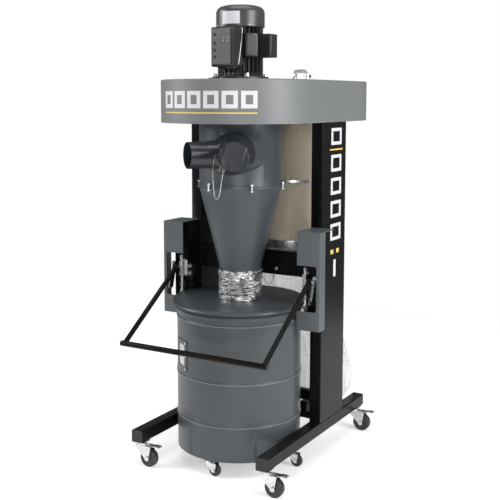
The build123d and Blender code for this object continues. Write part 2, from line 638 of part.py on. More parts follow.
def filter_crank():
    """Crank on the housing that turns a shaft with two brush paddles inside the cartridge."""
    y = FILTER_Y
    crank = disc(0, y, FILTER_Z + 20, HOUSING_TOP + 8, 8)
    crank += disc(0, y, HOUSING_TOP + 0.4, HOUSING_TOP + 14, 13)
    arch = FilletPolyline((0, y, HOUSING_TOP + 10), (4, y, HOUSING_TOP + 46), (48, y, HOUSING_TOP + 46),
                          (58, y, HOUSING_TOP + 30), radius=9)
    crank += sweep(Plane(origin=arch @ 0, z_dir=arch % 0) * Rectangle(16, 6), arch)
    crank += disc(60, y, HOUSING_TOP + 10, HOUSING_TOP + 36, 10)
    crank += block(46, 80, y - 3, y + 3, HOUSING_TOP + 16, HOUSING_TOP + 30)
    for side in (-1, 1):
        x0, x1 = sorted((side * 6, side * (FILTER_CORE_R - 8)))
        crank += block(x0, x1, y - 1.5, y + 1.5, FILTER_Z + 40, HOUSING_Z - 30)
    return crank


def bag_wall(sections, wall):
    """One open band of the bag's wall, lofted through (height, backward shift, radius)."""
    outer = [Pos(0, FILTER_Y + shift, z) * Circle(radius) for z, shift, radius in sections]
    inner = [Pos(0, FILTER_Y + shift, z) * Circle(radius - wall) for z, shift, radius in sections]
    return loft(Sketch() + outer) - loft(Sketch() + inner)


def dust_bag():
    """Clear plastic bag under the filter, full at the bottom: neck, belly and closed base."""
    wall = 2.0
    neck = bag_wall([(PAN_Z, 0, 173), (700, 2, 171), (560, 14, 178), (400, 44, 206)], wall)
    belly = bag_wall([(400, 44, 206), (270, 68, 236), (190, 76, 243)], wall)
    base = bag_wall([(190, 76, 243), (140, 73, 231), (112, 66, 184)], wall)
    bottom = disc(0, FILTER_Y + 66, 112 - wall, 112, 184)
    return Compound([neck, belly, base, bottom])


# --- cords ---------------------------------------------------------------------------------------
def cord(points, radius, ratio=0.45):
    """A round cord along straight runs joined by arcs as large as the runs allow."""
    knots = [Vector(*p) for p in points]
    radii = []
    for before, corner, after in zip(knots, knots[1:], knots[2:]):
        into, out = corner - before, after - corner
        turn = math.radians(into.get_angle(out))
        radii.append(ratio * min(into.length, out.length) / math.tan(turn / 2))
    path = FilletPolyline(*points, radius=radii)
    tube = sweep(Plane(origin=path @ 0, z_dir=path % 0) * Circle(radius), path)
    section = math.pi * radius**2
    print("cord", round(path.length, 1), "mm, radii", [round(r, 1) for r in radii],
          "volume/ideal", round(tube.volume / section / path.length, 4))
    return tube


# Wire lanyard from the fitting's crotch to the cap, hanging in a narrow loop.
LANYARD = [(79, -319.5, 1252), (78, -326.5, 1243), (78, -331, 1220), (79, -333, 1190), (81, -334, 1160),
           (84, -335, 1130), (89, -336, 1107), (98, -337, 1100), (107, -337, 1110), (113, -337, 1132),
           (117, -336, 1158), (120, -335, 1182), (124, -333, 1203)]

# Lead from the switch box's gland round to the housing's top.
SWITCH_LEAD = [(0, -140, 1573), (0, -140, 1562), (-10, -143, 1552), (-25, -146, 1548), (-43, -142, 1547.2),
               (-60, -131, 1546.8), (-74, -116, 1547)]


# --- build ---------------------------------------------------------------------------------------
def fasteners():
    """Handle pivot pins, rim bolts, guide bolts and motor bolts, each its own solid."""
    pins = both_sides(rod_x(LIFT_X + 7, ARM_X + ARM_R + 3.6, 0, PIVOT_Z, 5))
    for z in (733, 764):
        pins += both_sides(rod_x(270.5, 276, 36, z, 5))
    for k in range(6):
        angle = math.radians(15 + 60 * k)
        x, y = (BARREL_R + 10) * math.cos(angle), (BARREL_R + 10) * math.sin(angle)
        pins += disc(x, y, BARREL_Z - RIM_HEIGHT - 4, BARREL_Z + RIM_HEIGHT + 4, 4)
    for k in range(4):
        angle = math.radians(45 + 90 * k)
        x, y = (MOTOR_FLANGE_R - 10) * math.cos(angle), (MOTOR_FLANGE_R - 10) * math.sin(angle)
        top = HOUSING_TOP + MOTOR_FLANGE
        pins += hex_bolt_z(x, y, top, top + 8, 4.5)
    return pins


parts["leg_right"] = leg()
parts["leg_left"] = mirrored(leg())
parts["leg_end_caps"] = leg_end_caps()
parts["post_right"] = post()
parts["post_left"] = mirrored(post())
parts["filter_beam"] = filter_beam()
parts["crossbars"] = crossbars()
parts["housing_shell"] = housing_shell()
parts["housing_floor"] = housing_floor()
parts["cyclone_barrel"] = cyclone_barrel()
parts["cyclone_cone"] = cyclone_cone()
parts["inlet_wye"] = inlet_wye()
parts["port_cap"] = port_cap()
parts["cap_lanyard"] = cord(LANYARD, 1.2)
parts["hose_band_upper"] = ring(0, 0, COLLAR_Z, COLLAR_Z + 38, OUTLET_R + 4, OUTLET_R)
parts["hose_band_lower"] = ring(0, 0, LID_TOP, LID_COLLAR_TOP, OUTLET_R + 4, OUTLET_R)
parts["flex_hose"] = ring(0, 0, LID_COLLAR_TOP + HOSE_GAP, COLLAR_Z, OUTLET_R + 3, OUTLET_R - 1)
parts["lid"] = lid()
parts["lid_gasket"] = ring(0, DRUM_Y, DRUM_TOP + 0.5, LID_TOP - 3, LID_R - 8, LID_R - 28)
parts["lift_rods"] = lift_rods()
parts["lift_guides"] = lift_guides()
parts["handle_bail"] = handle_bail()
parts["toggle_links"] = toggle_links()
parts["side_covers"] = side_covers()
parts["drum"] = drum()
parts["sight_window"] = sight_window()
parts["window_frame"] = window_frame()
frame_casters()
drum_casters()
parts["motor_body"] = motor_body()
parts["fan_cover"] = fan_cover()
parts["motor_shaft"] = motor_shaft()
parts["impeller"] = impeller()
parts["capacitor_covers"] = capacitor_covers()
parts["switch_box"] = switch_box()
parts["switch_lead"] = cord(SWITCH_LEAD, 3.5)
parts["filter_element"] = filter_element()
parts["filter_pan"] = filter_pan()
parts["filter_crank"] = filter_crank()
parts["dust_bag"] = dust_bag()
parts["fasteners"] = fasteners()

shift = Pos(-FRAME_X, -FRAME_Y, 0)
for name, shape in parts.items():
    solids = ShapeList(shape.solids())
    piece = solids[0] if len(solids) == 1 else Compound(solids)
    export_step(shift * piece, f"parts/{name}.step")
print(len(parts), "nodes")
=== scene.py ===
import json
import math
import bmesh
import bpy
from mathutils import Matrix, Vector, noise

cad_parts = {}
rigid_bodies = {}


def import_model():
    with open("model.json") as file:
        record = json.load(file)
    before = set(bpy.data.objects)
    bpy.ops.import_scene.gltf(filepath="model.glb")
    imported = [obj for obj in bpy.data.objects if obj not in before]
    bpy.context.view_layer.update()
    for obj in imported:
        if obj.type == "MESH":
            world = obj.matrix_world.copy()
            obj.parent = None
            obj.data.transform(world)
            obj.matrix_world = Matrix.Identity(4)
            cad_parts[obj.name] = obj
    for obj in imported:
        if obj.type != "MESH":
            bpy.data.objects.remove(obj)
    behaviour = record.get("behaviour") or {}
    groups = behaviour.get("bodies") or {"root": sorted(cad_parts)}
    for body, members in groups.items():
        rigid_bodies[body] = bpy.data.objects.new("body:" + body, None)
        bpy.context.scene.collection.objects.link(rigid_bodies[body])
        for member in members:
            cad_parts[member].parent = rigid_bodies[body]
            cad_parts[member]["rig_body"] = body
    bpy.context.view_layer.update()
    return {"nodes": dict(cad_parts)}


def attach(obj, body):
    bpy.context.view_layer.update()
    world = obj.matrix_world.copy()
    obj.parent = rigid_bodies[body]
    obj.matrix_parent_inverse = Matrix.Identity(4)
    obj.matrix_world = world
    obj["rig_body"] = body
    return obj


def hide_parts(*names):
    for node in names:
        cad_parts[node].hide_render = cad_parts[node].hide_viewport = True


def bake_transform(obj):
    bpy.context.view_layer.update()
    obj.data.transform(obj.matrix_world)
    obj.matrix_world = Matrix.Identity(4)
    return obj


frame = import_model()
nodes = frame["nodes"]
fullTurn = 2 * math.pi
axisX, axisY = -0.0075, -0.19888  # the cyclone's upright axis; places below are given from it
print("frame loaded:", len(nodes), "nodes")


def fromAxis(x, y, z):  # metres from the foot of the cyclone's axis
    return Vector((x + axisX, y + axisY, z))


def spot(x, y, z):  # the same in millimetres
    return fromAxis(x / 1000, y / 1000, z / 1000)


def around(radius, degrees, z, y=0.0):  # a place round the axis; 0 degrees is the front, 90 the right
    a = math.radians(degrees)
    return spot(radius * math.sin(a), y - radius * math.cos(a), z)


# camera and light
cameraSettings = {"place": (1.879, -3.184, 1.469), "turn": 30.65, "down": 6.733, "lens": 66.31,
                  "shiftX": 0.0225, "shiftY": -0.085}
cameraData = bpy.data.cameras.new("viewCamera")
cameraData.lens = cameraSettings["lens"]
cameraData.sensor_width = 36
cameraData.shift_x = cameraSettings["shiftX"]
cameraData.shift_y = cameraSettings["shiftY"]
cameraData.clip_end = 200
camera = bpy.data.objects.new("viewCamera", cameraData)
camera.location = fromAxis(*cameraSettings["place"])
camera.rotation_euler = (math.radians(90 - cameraSettings["down"]), 0, math.radians(cameraSettings["turn"]))
bpy.context.scene.collection.objects.link(camera)
bpy.context.scene.camera = camera

lightSettings = {
    "keyLeft": {"place": (-3.9, -2.2, 2.8), "size": 2.2, "power": 150},
    "sideRight": {"place": (4.2, -0.6, 2.2), "size": 2.2, "power": 165},
    "overhead": {"place": (0.2, -0.4, 4.6), "size": 3.0, "power": 84},
    "frontSoft": {"place": (2.0, -4.5, 1.3), "size": 1.6, "power": 58},
}
for name, light in lightSettings.items():
    data = bpy.data.lights.new(name, "AREA")
    data.shape, data.size, data.energy = "SQUARE", light["size"], light["power"]
    lamp = bpy.data.objects.new(name, data)
    lamp.location = light["place"]
    aim = Vector((0, 0.1, 0.9)) - lamp.location
    lamp.rotation_euler = aim.to_track_quat("-Z", "Y").to_euler()
    bpy.context.scene.collection.objects.link(lamp)
skySettings = {"seen": 1.0, "given": 0.2}  # the plain white backdrop, and the light that it gives
world = bpy.data.worlds.new("studioSky")
world.use_nodes = True
sky = world.node_tree
glow = sky.nodes["Background"]
glow.inputs["Color"].default_value = (1.0, 1.0, 1.0, 1)
rays = sky.nodes.new("ShaderNodeLightPath")
span = sky.nodes.new("ShaderNodeMapRange")
span.inputs["To Min"].default_value = skySettings["given"]
span.inputs["To Max"].default_value = skySettings["seen"]
sky.links.new(rays.outputs["Is Camera Ray"], span.inputs["Value"])
sky.links.new(span.outputs["Result"], glow.inputs["Strength"])
bpy.context.scene.world = world
print("camera and lights set")


# materials
class Value:  # a number, colour or vector in a material; sums on it add Math nodes
    def __init__(self, paint, socket):
        self.paint, self.socket = paint, socket

    def pair(self, operation, first, second):
        return self.paint.node("Math", {"operation": operation}, {0: first, 1: second})

    def __add__(self, other):
        return self.pair("ADD", self, other)

    def __mul__(self, other):
        return self.pair("MULTIPLY", self, other)

    def __sub__(self, other):
        return self.pair("SUBTRACT", self, other)

    def __rsub__(self, other):
        return self.pair("SUBTRACT", other, self)

    __radd__ = __add__
    __rmul__ = __mul__


class Paint:  # one material and the nodes in it
    def __init__(self, name, **fixed):
        self.material = bpy.data.materials.new(name)
        self.material.use_nodes = True
        self.tree = self.material.node_tree
        self.shader = self.tree.nodes["Principled BSDF"]
        for label, value in fixed.items():
            self.put(self.shader.inputs[label.replace("_", " ")], value)

    def put(self, socket, value):
        if isinstance(value, Value):
            self.tree.links.new(value.socket, socket)
        else:
            socket.default_value = value

    def node(self, kind, settings=None, sockets=None, out=0):
        made = self.tree.nodes.new("ShaderNode" + kind)
        for label, value in (settings or {}).items():
            if label == "stops":
                ramp = made.color_ramp
                while len(ramp.elements) < len(value):
                    ramp.elements.new(0.5)
                for stop, (place, shade) in zip(ramp.elements, value):
                    stop.position, stop.color = place, (shade, shade, shade, 1)
            else:
                setattr(made, label, value)
        for label, value in (sockets or {}).items():
            self.put(made.inputs[label], value)
        return Value(self, made.outputs[out])

    def place(self, scale=(1, 1, 1)):
        here = self.node("TexCoord", out="Object")
        if scale == (1, 1, 1):
            return here
        return self.node("Mapping", {}, {"Vector": here, "Scale": scale})

    def grain(self, scale, place, detail=2.0, rough=0.5):
        return self.node("TexNoise", {}, {"Vector": place, "Scale": scale, "Detail": detail,
                                                    "Roughness": rough})

    def band(self, value, low, high):  # 0 under low, 1 over high
        return self.node("ValToRGB", {"stops": [(low, 0.0), (high, 1.0)]}, {"Fac": value})

    def blendOf(self, mask, first, second):
        return self.node("Mix", {"data_type": "RGBA"}, {0: mask, 6: first, 7: second}, out=2)

    def wear(self, **sockets):
        for label, value in sockets.items():
            self.put(self.shader.inputs[label.replace("_", " ")], value)

    def relief(self, height, strength, depth):
        bump = self.node("Bump", {}, {"Height": height, "Strength": strength, "Distance": depth})
        self.put(self.shader.inputs["Normal"], bump)


def shadeOf(colour, factor):
    return tuple(min(1.0, part * factor) for part in colour) + (1,)


def powderCoat(name, colour, rough=0.42, spread=0.1, peel=420, lift=0.12, coat=0.0):
    paint = Paint(name, Coat_Weight=coat)
    place = paint.place()
    cloud = paint.grain(5, place, 4)
    speck = paint.grain(1500, place, 1)
    skin = paint.grain(peel, place, 2)
    mask = cloud * 0.75 + speck * 0.25
    scuff = paint.band(paint.grain(38, paint.place((1, 1, 0.22)), 6, 0.7), 0.62, 0.74)
    plain = paint.blendOf(mask, shadeOf(colour, 1 - spread), shadeOf(colour, 1 + spread))
    paint.wear(Base_Color=paint.blendOf(scuff * 0.16, plain, shadeOf(colour, 1.7)),
               Roughness=(cloud - 0.5) * 0.16 + speck * 0.06 + rough)
    paint.relief(skin * 0.7 + speck * 0.3, lift, 0.0006)
    return paint.material


def glossPaint(name, colour, rough=0.2, lift=0.05, shine=0.12):
    paint = Paint(name, Specular_IOR_Level=shine)
    place = paint.place()
    cloud = paint.grain(9, place, 3)
    dust = paint.band(paint.grain(620, place, 3, 0.65), 0.60, 0.72)
    paint.wear(Base_Color=paint.blendOf(dust * 0.35, shadeOf(colour, 1), (0.018, 0.018, 0.018, 1)),
               Roughness=cloud * 0.14 + dust * 0.15 + rough)
    paint.relief(paint.grain(160, place, 2), lift, 0.0005)
    return paint.material


def zincPlate(name, colour=(0.66, 0.67, 0.68), rough=0.24):
    paint = Paint(name, Metallic=1.0)
    place = paint.place()
    flake = paint.node("TexVoronoi", {"feature": "F1"}, {"Vector": place, "Scale": 210.0},
                       out="Color")
    tone = paint.node("SeparateColor", {}, {0: flake})
    stain = paint.band(paint.grain(55, place, 5, 0.65), 0.45, 0.7)
    bright = paint.blendOf(tone, shadeOf(colour, 0.82), shadeOf(colour, 1.18))
    paint.wear(Base_Color=paint.blendOf(stain * 0.3, bright, shadeOf(colour, 0.55)),
               Roughness=tone * 0.12 + stain * 0.14 + rough)
    paint.relief(paint.grain(300, place, 2), 0.12, 0.0003)
    return paint.material


def turnedSteel(name, colour=(0.55, 0.55, 0.56), rough=0.3):
    paint = Paint(name, Metallic=1.0)
    ringed = paint.grain(90, paint.place((0.2, 0.2, 9)), 3)
    paint.wear(Base_Color=paint.blendOf(ringed, shadeOf(colour, 0.8), shadeOf(colour, 1.15)),
               Roughness=ringed * 0.18 + rough)
    paint.relief(ringed, 0.08, 0.0003)
    return paint.material


def moulded(name, colour, rough=0.42, lift=0.1, fine=900):
    paint = Paint(name)
    place = paint.place()
    skin = paint.grain(fine, place, 2)
    cloud = paint.grain(24, place, 3)
    paint.wear(Base_Color=paint.blendOf(cloud, shadeOf(colour, 0.85), shadeOf(colour, 1.2)),
               Roughness=cloud * 0.14 + rough)
    paint.relief(skin, lift, 0.0004)
    return paint.material


def tyreRubber(name, colour=(0.014, 0.014, 0.015)):
    paint = Paint(name)
    place = paint.place()
    dust = paint.band(paint.grain(70, place, 5, 0.7), 0.46, 0.72)
    paint.wear(Base_Color=paint.blendOf(dust * 0.4, shadeOf(colour, 1), (0.06, 0.058, 0.055, 1)),
               Roughness=dust * 0.25 + 0.34)
    paint.relief(paint.grain(500, place, 3), 0.15, 0.0004)
    return paint.material


def wireRope(name):
    paint = Paint(name, Metallic=1.0)
    lay = paint.node("TexWave", {"bands_direction": "DIAGONAL"},
                     {"Vector": paint.place((1, 1, 1)), "Scale": 260.0, "Distortion": 0.4})
    tone = paint.node("SeparateColor", {}, {0: lay})
    paint.wear(Base_Color=paint.blendOf(tone, (0.4, 0.4, 0.41, 1), (0.82, 0.82, 0.83, 1)),
               Roughness=0.42 - tone * 0.14)
    paint.relief(tone, 0.5, 0.0004)
    return paint.material


def foilFilm(name, colour=(0.78, 0.79, 0.8), alpha=1.0, metal=0.9, rough=0.14):
    paint = Paint(name, Metallic=metal)
    place = paint.place((1, 1, 1.6))
    crease = paint.node("TexVoronoi", {"feature": "DISTANCE_TO_EDGE"},
                        {"Vector": place, "Scale": 62.0})
    fine = paint.grain(170, place, 4, 0.6)
    ridge = paint.band(crease, 0.0, 0.12)
    # painted reflection: dark and light streaks in the colour stand in for what the creased film reflects
    reflectionStreak = paint.band(paint.grain(46, paint.place((0.7, 0.7, 3.2)), 5, 0.62), 0.44, 0.58)
    paint.wear(Base_Color=paint.blendOf(reflectionStreak, shadeOf(colour, 0.16), shadeOf(colour, 1.15)),
               Roughness=fine * 0.22 + rough)
    if alpha < 1:
        paint.wear(Alpha=(1 - ridge) * 0.3 + alpha)
    paint.relief(ridge * 0.6 + fine * 0.6, 0.45, 0.002)
    return paint.material


def clearFilm(name, colour=(0.83, 0.845, 0.85), alpha=0.34):
    paint = Paint(name)
    long = paint.grain(26, paint.place((1, 1, 0.16)), 5, 0.62)  # long creases that run down the film
    cross = paint.grain(34, paint.place((0.6, 0.6, 1.5)), 4, 0.6)
    crease = paint.band(long * 0.65 + cross * 0.35, 0.44, 0.6)
    fine = paint.grain(210, paint.place((1, 1, 0.5)), 3)
    paint.wear(Base_Color=paint.blendOf(crease, shadeOf(colour, 0.8), shadeOf(colour, 1.1)),
               Roughness=fine * 0.2 + 0.1, Alpha=crease * 0.24 + fine * 0.1 + alpha)
    paint.relief(long * 0.7 + cross * 0.5 + fine * 0.12, 0.5, 0.006)
    return paint.material


def pleatPaper(name, colour=(0.8, 0.71, 0.57)):
    paint = Paint(name)
    place = paint.place()
    fibre = paint.grain(650, paint.place((1, 1, 0.3)), 4, 0.7)
    cake = paint.band(paint.grain(14, place, 4), 0.4, 0.68)
    paper = paint.blendOf(fibre, shadeOf(colour, 0.8), shadeOf(colour, 1.25))
    paint.wear(Base_Color=paint.blendOf(cake * 0.35, paper, (0.62, 0.58, 0.5, 1)),
               Roughness=fibre * 0.1 + 0.85)
    paint.relief(fibre, 0.3, 0.0006)
    return paint.material


def flatInk(name, colour, rough=0.35):
    paint = Paint(name)
    speck = paint.grain(800, paint.place(), 2)
    paint.wear(Base_Color=paint.blendOf(speck, shadeOf(colour, 0.92), shadeOf(colour, 1.04)),
               Roughness=speck * 0.12 + rough)
    return paint.material


def glowDot(name, colour):
    paint = Paint(name, Roughness=0.2)
    speck = paint.grain(500, paint.place(), 2)
    paint.wear(Base_Color=paint.blendOf(speck, shadeOf(colour, 0.8), shadeOf(colour, 1)))
    return paint.material


def clearPane(name):
    paint = Paint(name)
    haze = paint.grain(30, paint.place(), 4, 0.6)
    paint.wear(Base_Color=paint.blendOf(haze, (0.62, 0.65, 0.66, 1), (0.8, 0.82, 0.83, 1)),
               Roughness=haze * 0.14 + 0.04, Alpha=haze * 0.25 + 0.5)
    paint.relief(paint.grain(18, paint.place(), 2), 0.06, 0.001)
    return paint.material


def litFloor(name, colour, glow):  # a pale sweep with a little light of its own, so that shadows stay soft
    paint = Paint(name, Roughness=0.8, Emission_Color=(1, 1, 1, 1), Emission_Strength=glow)
    speck = paint.grain(60, paint.place(), 3)
    paint.wear(Base_Color=paint.blendOf(speck, shadeOf(colour, 0.98), shadeOf(colour, 1.02)))
    return paint.material


paints = {
    "housingGrey": powderCoat("housingGrey", (0.172, 0.18, 0.184), 0.42, 0.05, 380, 0.1),
    "cycloneGrey": powderCoat("cycloneGrey", (0.05, 0.058, 0.065), 0.36, 0.07, 420, 0.12),
    # painted highlight: a light grey for the bright lines along the drum's beads
    "edgeGrey": powderCoat("edgeGrey", (0.27, 0.29, 0.3), 0.3, 0.3, 420, 0.05),
    "coverGrey": powderCoat("coverGrey", (0.088, 0.1, 0.108), 0.42, 0.07, 420, 0.12),
    "fittingGrey": powderCoat("fittingGrey", (0.017, 0.02, 0.025), 0.25, 0.1, 300, 0.08, 0.15),
    "frameBlack": glossPaint("frameBlack", (0.006, 0.006, 0.0066)),
    "motorBlack": powderCoat("motorBlack", (0.022, 0.023, 0.025), 0.34, 0.2, 260, 0.3),
    "cowlGrey": powderCoat("cowlGrey", (0.05, 0.05, 0.052), 0.3, 0.12, 300, 0.12),
    "capPlastic": moulded("capPlastic", (0.014, 0.016, 0.02), 0.3),
    # black plastic for the leg and handle end caps; also the painted shade in the cowl's cooling slots
    "plugPlastic": moulded("plugPlastic", (0.012, 0.012, 0.012), 0.5),
    "boxPlastic": moulded("boxPlastic", (0.018, 0.019, 0.02), 0.38),
    "facePlate": moulded("facePlate", (0.12, 0.122, 0.118), 0.4, 0.06, 1400),
    "softRubber": moulded("softRubber", (0.012, 0.012, 0.012), 0.62, 0.18, 500),
    "zinc": zincPlate("zinc"),
    # bright steel for the shaft, eyelets, hose wire and box trim; also the painted highlights on the
    # capacitor covers' edges
    "brightSteel": turnedSteel("brightSteel"),
    "castAlloy": zincPlate("castAlloy", (0.6, 0.6, 0.6), 0.42),
    "tyre": tyreRubber("tyre"),
    "rope": wireRope("rope"),
    "foil": foilFilm("foil"),
    "hoseFilm": foilFilm("hoseFilm", (0.8, 0.81, 0.82), 0.42, 0.0, 0.08),
    "bagFilm": clearFilm("bagFilm"),
    "paper": pleatPaper("paper"),
    "meshWire": moulded("meshWire", (0.72, 0.69, 0.62), 0.36),
    "whiteInk": flatInk("whiteInk", (0.7, 0.7, 0.73)),
    "yellowInk": flatInk("yellowInk", (0.8, 0.56, 0.14)),
    "greenDot": glowDot("greenDot", (0.55, 0.75, 0.3)),
    "paleDot": glowDot("paleDot", (0.75, 0.8, 0.78)),
    "pane": clearPane("pane"),
    "floorPale": litFloor("floorPale", (0.84, 0.84, 0.84), 0.4),
}
print("materials:", len(paints))


# pieces from meshes
def dress(piece, body, paint):
    piece.data.materials.clear()
    piece.data.materials.append(paints[paint])
    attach(piece, body)
    return piece


def meshPiece(name, mesh, sharp=32):
    work = bmesh.new()
    work.from_mesh(mesh)
    bmesh.ops.remove_doubles(work, verts=work.verts, dist=2e-6)
    bmesh.ops.recalc_face_normals(work, faces=work.faces)
    work.to_mesh(mesh)
    work.free()
    mesh.shade_smooth()
    mesh.set_sharp_from_angle(angle=math.radians(sharp))
    piece = bpy.data.objects.new(name, mesh)
    bpy.context.scene.collection.objects.link(piece)
    return piece


def fromFaces(name, verts, faces, sharp=32):
    mesh = bpy.data.meshes.new(name)
    mesh.from_pydata([tuple(v) for v in verts], [], faces)
    return meshPiece(name, mesh, sharp)


def gridFaces(rows, columns, closed=True):  # faces between rings of vertices
    faces = []
    for row in range(rows - 1):
        for k in range(columns if closed else columns - 1):
            a, b = row * columns + k, row * columns + (k + 1) % columns
            faces.append((a, b, b + columns, a + columns))
    return faces


def tubeAlong(name, points, radius, sides=12):  # a round bar through points, with its ends closed
    verts, count = [], len(points)
    side = None
    for k, point in enumerate(points):
        along = (points[min(k + 1, count - 1)] - points[max(k - 1, 0)]).normalized()
        side = along.orthogonal() if side is None else side - along * side.dot(along)
        side.normalize()
        up = along.cross(side)
        for s in range(sides):
            a = 2 * math.pi * s / sides
            verts.append(point + (side * math.cos(a) + up * math.sin(a)) * radius)
    faces = gridFaces(count, sides)
    faces += [tuple(range(sides)), tuple((count - 1) * sides + s for s in range(sides))]
    return fromFaces(name, verts, faces, 50)


def curvedPlate(name, radius, start, stop, low, high, thick, steps=24, inset=0.0, y=0.0):
    verts = []
    for k in range(steps + 1):
        angle = start + (stop - start) * k / steps
        outside = radius + thick
        for r, z in ((radius, low), (outside, low + inset), (outside, high - inset), (radius, high)):
            verts.append(around(r, angle, z, y))
    faces = []
    for k in range(steps):
        for s in range(4):
            a, b = k * 4 + s, k * 4 + (s + 1) % 4
            faces.append((a, b, b + 4, a + 4))
    faces += [(0, 1, 2, 3), tuple(steps * 4 + s for s in range(4))]
    return fromFaces(name, verts, faces, 30)


def bevelBox(name, low, high, edge=0.0008, steps=2):  # corners in millimetres from the axis
    work = bmesh.new()
    bmesh.ops.create_cube(work, size=1.0)
    a, b = spot(*low), spot(*high)
    for v in work.verts:
        v.co = Vector([a[i] + (v.co[i] + 0.5) * (b[i] - a[i]) for i in range(3)])
    bmesh.ops.bevel(work, geom=work.edges[:], offset=edge, segments=steps, affect="EDGES", clamp_overlap=True)
    mesh = bpy.data.meshes.new(name)
    work.to_mesh(mesh)
    work.free()
    return meshPiece(name, mesh, 40)


# Geometry Nodes
class Recipe:  # one tree with named inputs that ends in a plain mesh
    def __init__(self, name, **inputs):
        self.tree = bpy.data.node_groups.new(name, "GeometryNodeTree")
        panel = self.tree.interface
        panel.new_socket("Geometry", in_out="INPUT", socket_type="NodeSocketGeometry")
        self.ids = {}
        for label, value in inputs.items():
            kind = "NodeSocketInt" if isinstance(value, int) else "NodeSocketFloat"
            made = panel.new_socket(label, in_out="INPUT", socket_type=kind)
            made.default_value = value
            self.ids[label] = made.identifier
        finish = panel.new_socket("finish", in_out="INPUT", socket_type="NodeSocketMaterial")
        self.ids["finish"] = finish.identifier
        panel.new_socket("Geometry", in_out="OUTPUT", socket_type="NodeSocketGeometry")
        self.start = self.tree.nodes.new("NodeGroupInput")

    def __getitem__(self, label):
        return self.start.outputs[label]

    def add(self, kind, settings=None, out=0, **sockets):
        made = self.tree.nodes.new(kind if "Node" in kind else "GeometryNode" + kind)
        for label, value in (settings or {}).items():
            setattr(made, label, value)
        for label, value in sockets.items():
            socket = made.inputs[int(label[1:])] if label[0] == "i" and label[1:].isdigit() else \
                made.inputs[label.replace("_", " ")]
            for one in value if isinstance(value, list) else [value]:
                if isinstance(one, bpy.types.NodeSocket):
                    self.tree.links.new(one, socket)
                else:
                    socket.default_value = one
        return made.outputs[out]

    def times(self, first, second, operation="MULTIPLY"):
        return self.add("ShaderNodeMath", {"operation": operation}, i0=first, i1=second)

    def vector(self, x=0.0, y=0.0, z=0.0):
        return self.add("ShaderNodeCombineXYZ", X=x, Y=y, Z=z)

    def close(self, geometry):
        real = self.add("RealizeInstances", Geometry=geometry)
        done = self.add("SetMaterial", Geometry=real, Material=self["finish"])
        end = self.tree.nodes.new("NodeGroupOutput")
        self.tree.links.new(done, end.inputs["Geometry"])
        return self

    def grow(self, name, paint, host=None, sharp=32, **values):
        mesh = host or bpy.data.meshes.new(name + "Seed")
        holder = bpy.data.objects.new(name + "Holder", mesh)
        bpy.context.scene.collection.objects.link(holder)
        modifier = holder.modifiers.new("grow", "NODES")
        modifier.node_group = self.tree
        for label, value in values.items():
            modifier[self.ids[label]] = value
        modifier[self.ids["finish"]] = paints[paint]
        graph = bpy.context.evaluated_depsgraph_get()
        result = bpy.data.meshes.new_from_object(holder.evaluated_get(graph))
        holder.modifiers.remove(modifier)
        bpy.data.objects.remove(holder)
        return meshPiece(name, result, sharp)


boltTree = Recipe("boltHeads", sides=6, size=0.005, height=0.004, washer=0.001)
head = boltTree.add("MeshCylinder", Vertices=boltTree["sides"], Radius=boltTree["size"],
                    Depth=boltTree["height"])
rise = boltTree.times(boltTree["height"], 0.5)
head = boltTree.add("Transform", Geometry=head, Translation=boltTree.vector(z=rise))
plate = boltTree.add("MeshCylinder", Vertices=20, Radius=boltTree.times(boltTree["size"], 1.35),
                     Depth=boltTree["washer"])
both = boltTree.add("JoinGeometry", Geometry=[head, plate])
aim = boltTree.add("InputNamedAttribute", {"data_type": "FLOAT_VECTOR"}, Name="aim")
turn = boltTree.add("FunctionNodeAlignRotationToVector", {"axis": "Z"}, Vector=aim)
boltTree.close(boltTree.add("InstanceOnPoints", Points=boltTree["Geometry"], Instance=both,
                            Rotation=turn))

screwTree = Recipe("screwHeads", size=0.004, flat=0.45)
dome = screwTree.add("MeshUVSphere", Segments=14, Rings=8, Radius=screwTree["size"])
dome = screwTree.add("Transform", Geometry=dome,
                     Scale=screwTree.vector(1.0, 1.0, screwTree["flat"]))
aim = screwTree.add("InputNamedAttribute", {"data_type": "FLOAT_VECTOR"}, Name="aim")
turn = screwTree.add("FunctionNodeAlignRotationToVector", {"axis": "Z"}, Vector=aim)
screwTree.close(screwTree.add("InstanceOnPoints", Points=screwTree["Geometry"], Instance=dome,
                              Rotation=turn))


def aimedPoints(name, places):  # a mesh of bare points, each with the way it faces
    mesh = bpy.data.meshes.new(name)
    mesh.from_pydata([tuple(place) for place, way in places], [], [])
    ways = mesh.attributes.new("aim", "FLOAT_VECTOR", "POINT")
    ways.data.foreach_set("vector", [part for place, way in places for part in way])
    return mesh


def bolts(name, body, places, size, height, paint="zinc", sides=6, washer=0.0012):
    piece = boltTree.grow(name, paint, aimedPoints(name + "Places", places), sides=sides, size=size,
                          height=height, washer=washer)
    return dress(piece, body, paint)


def screws(name, body, places, size, paint="zinc", flat=0.45):
    piece = screwTree.grow(name, paint, aimedPoints(name + "Places", places), size=size, flat=flat, sharp=60)
    return dress(piece, body, paint)


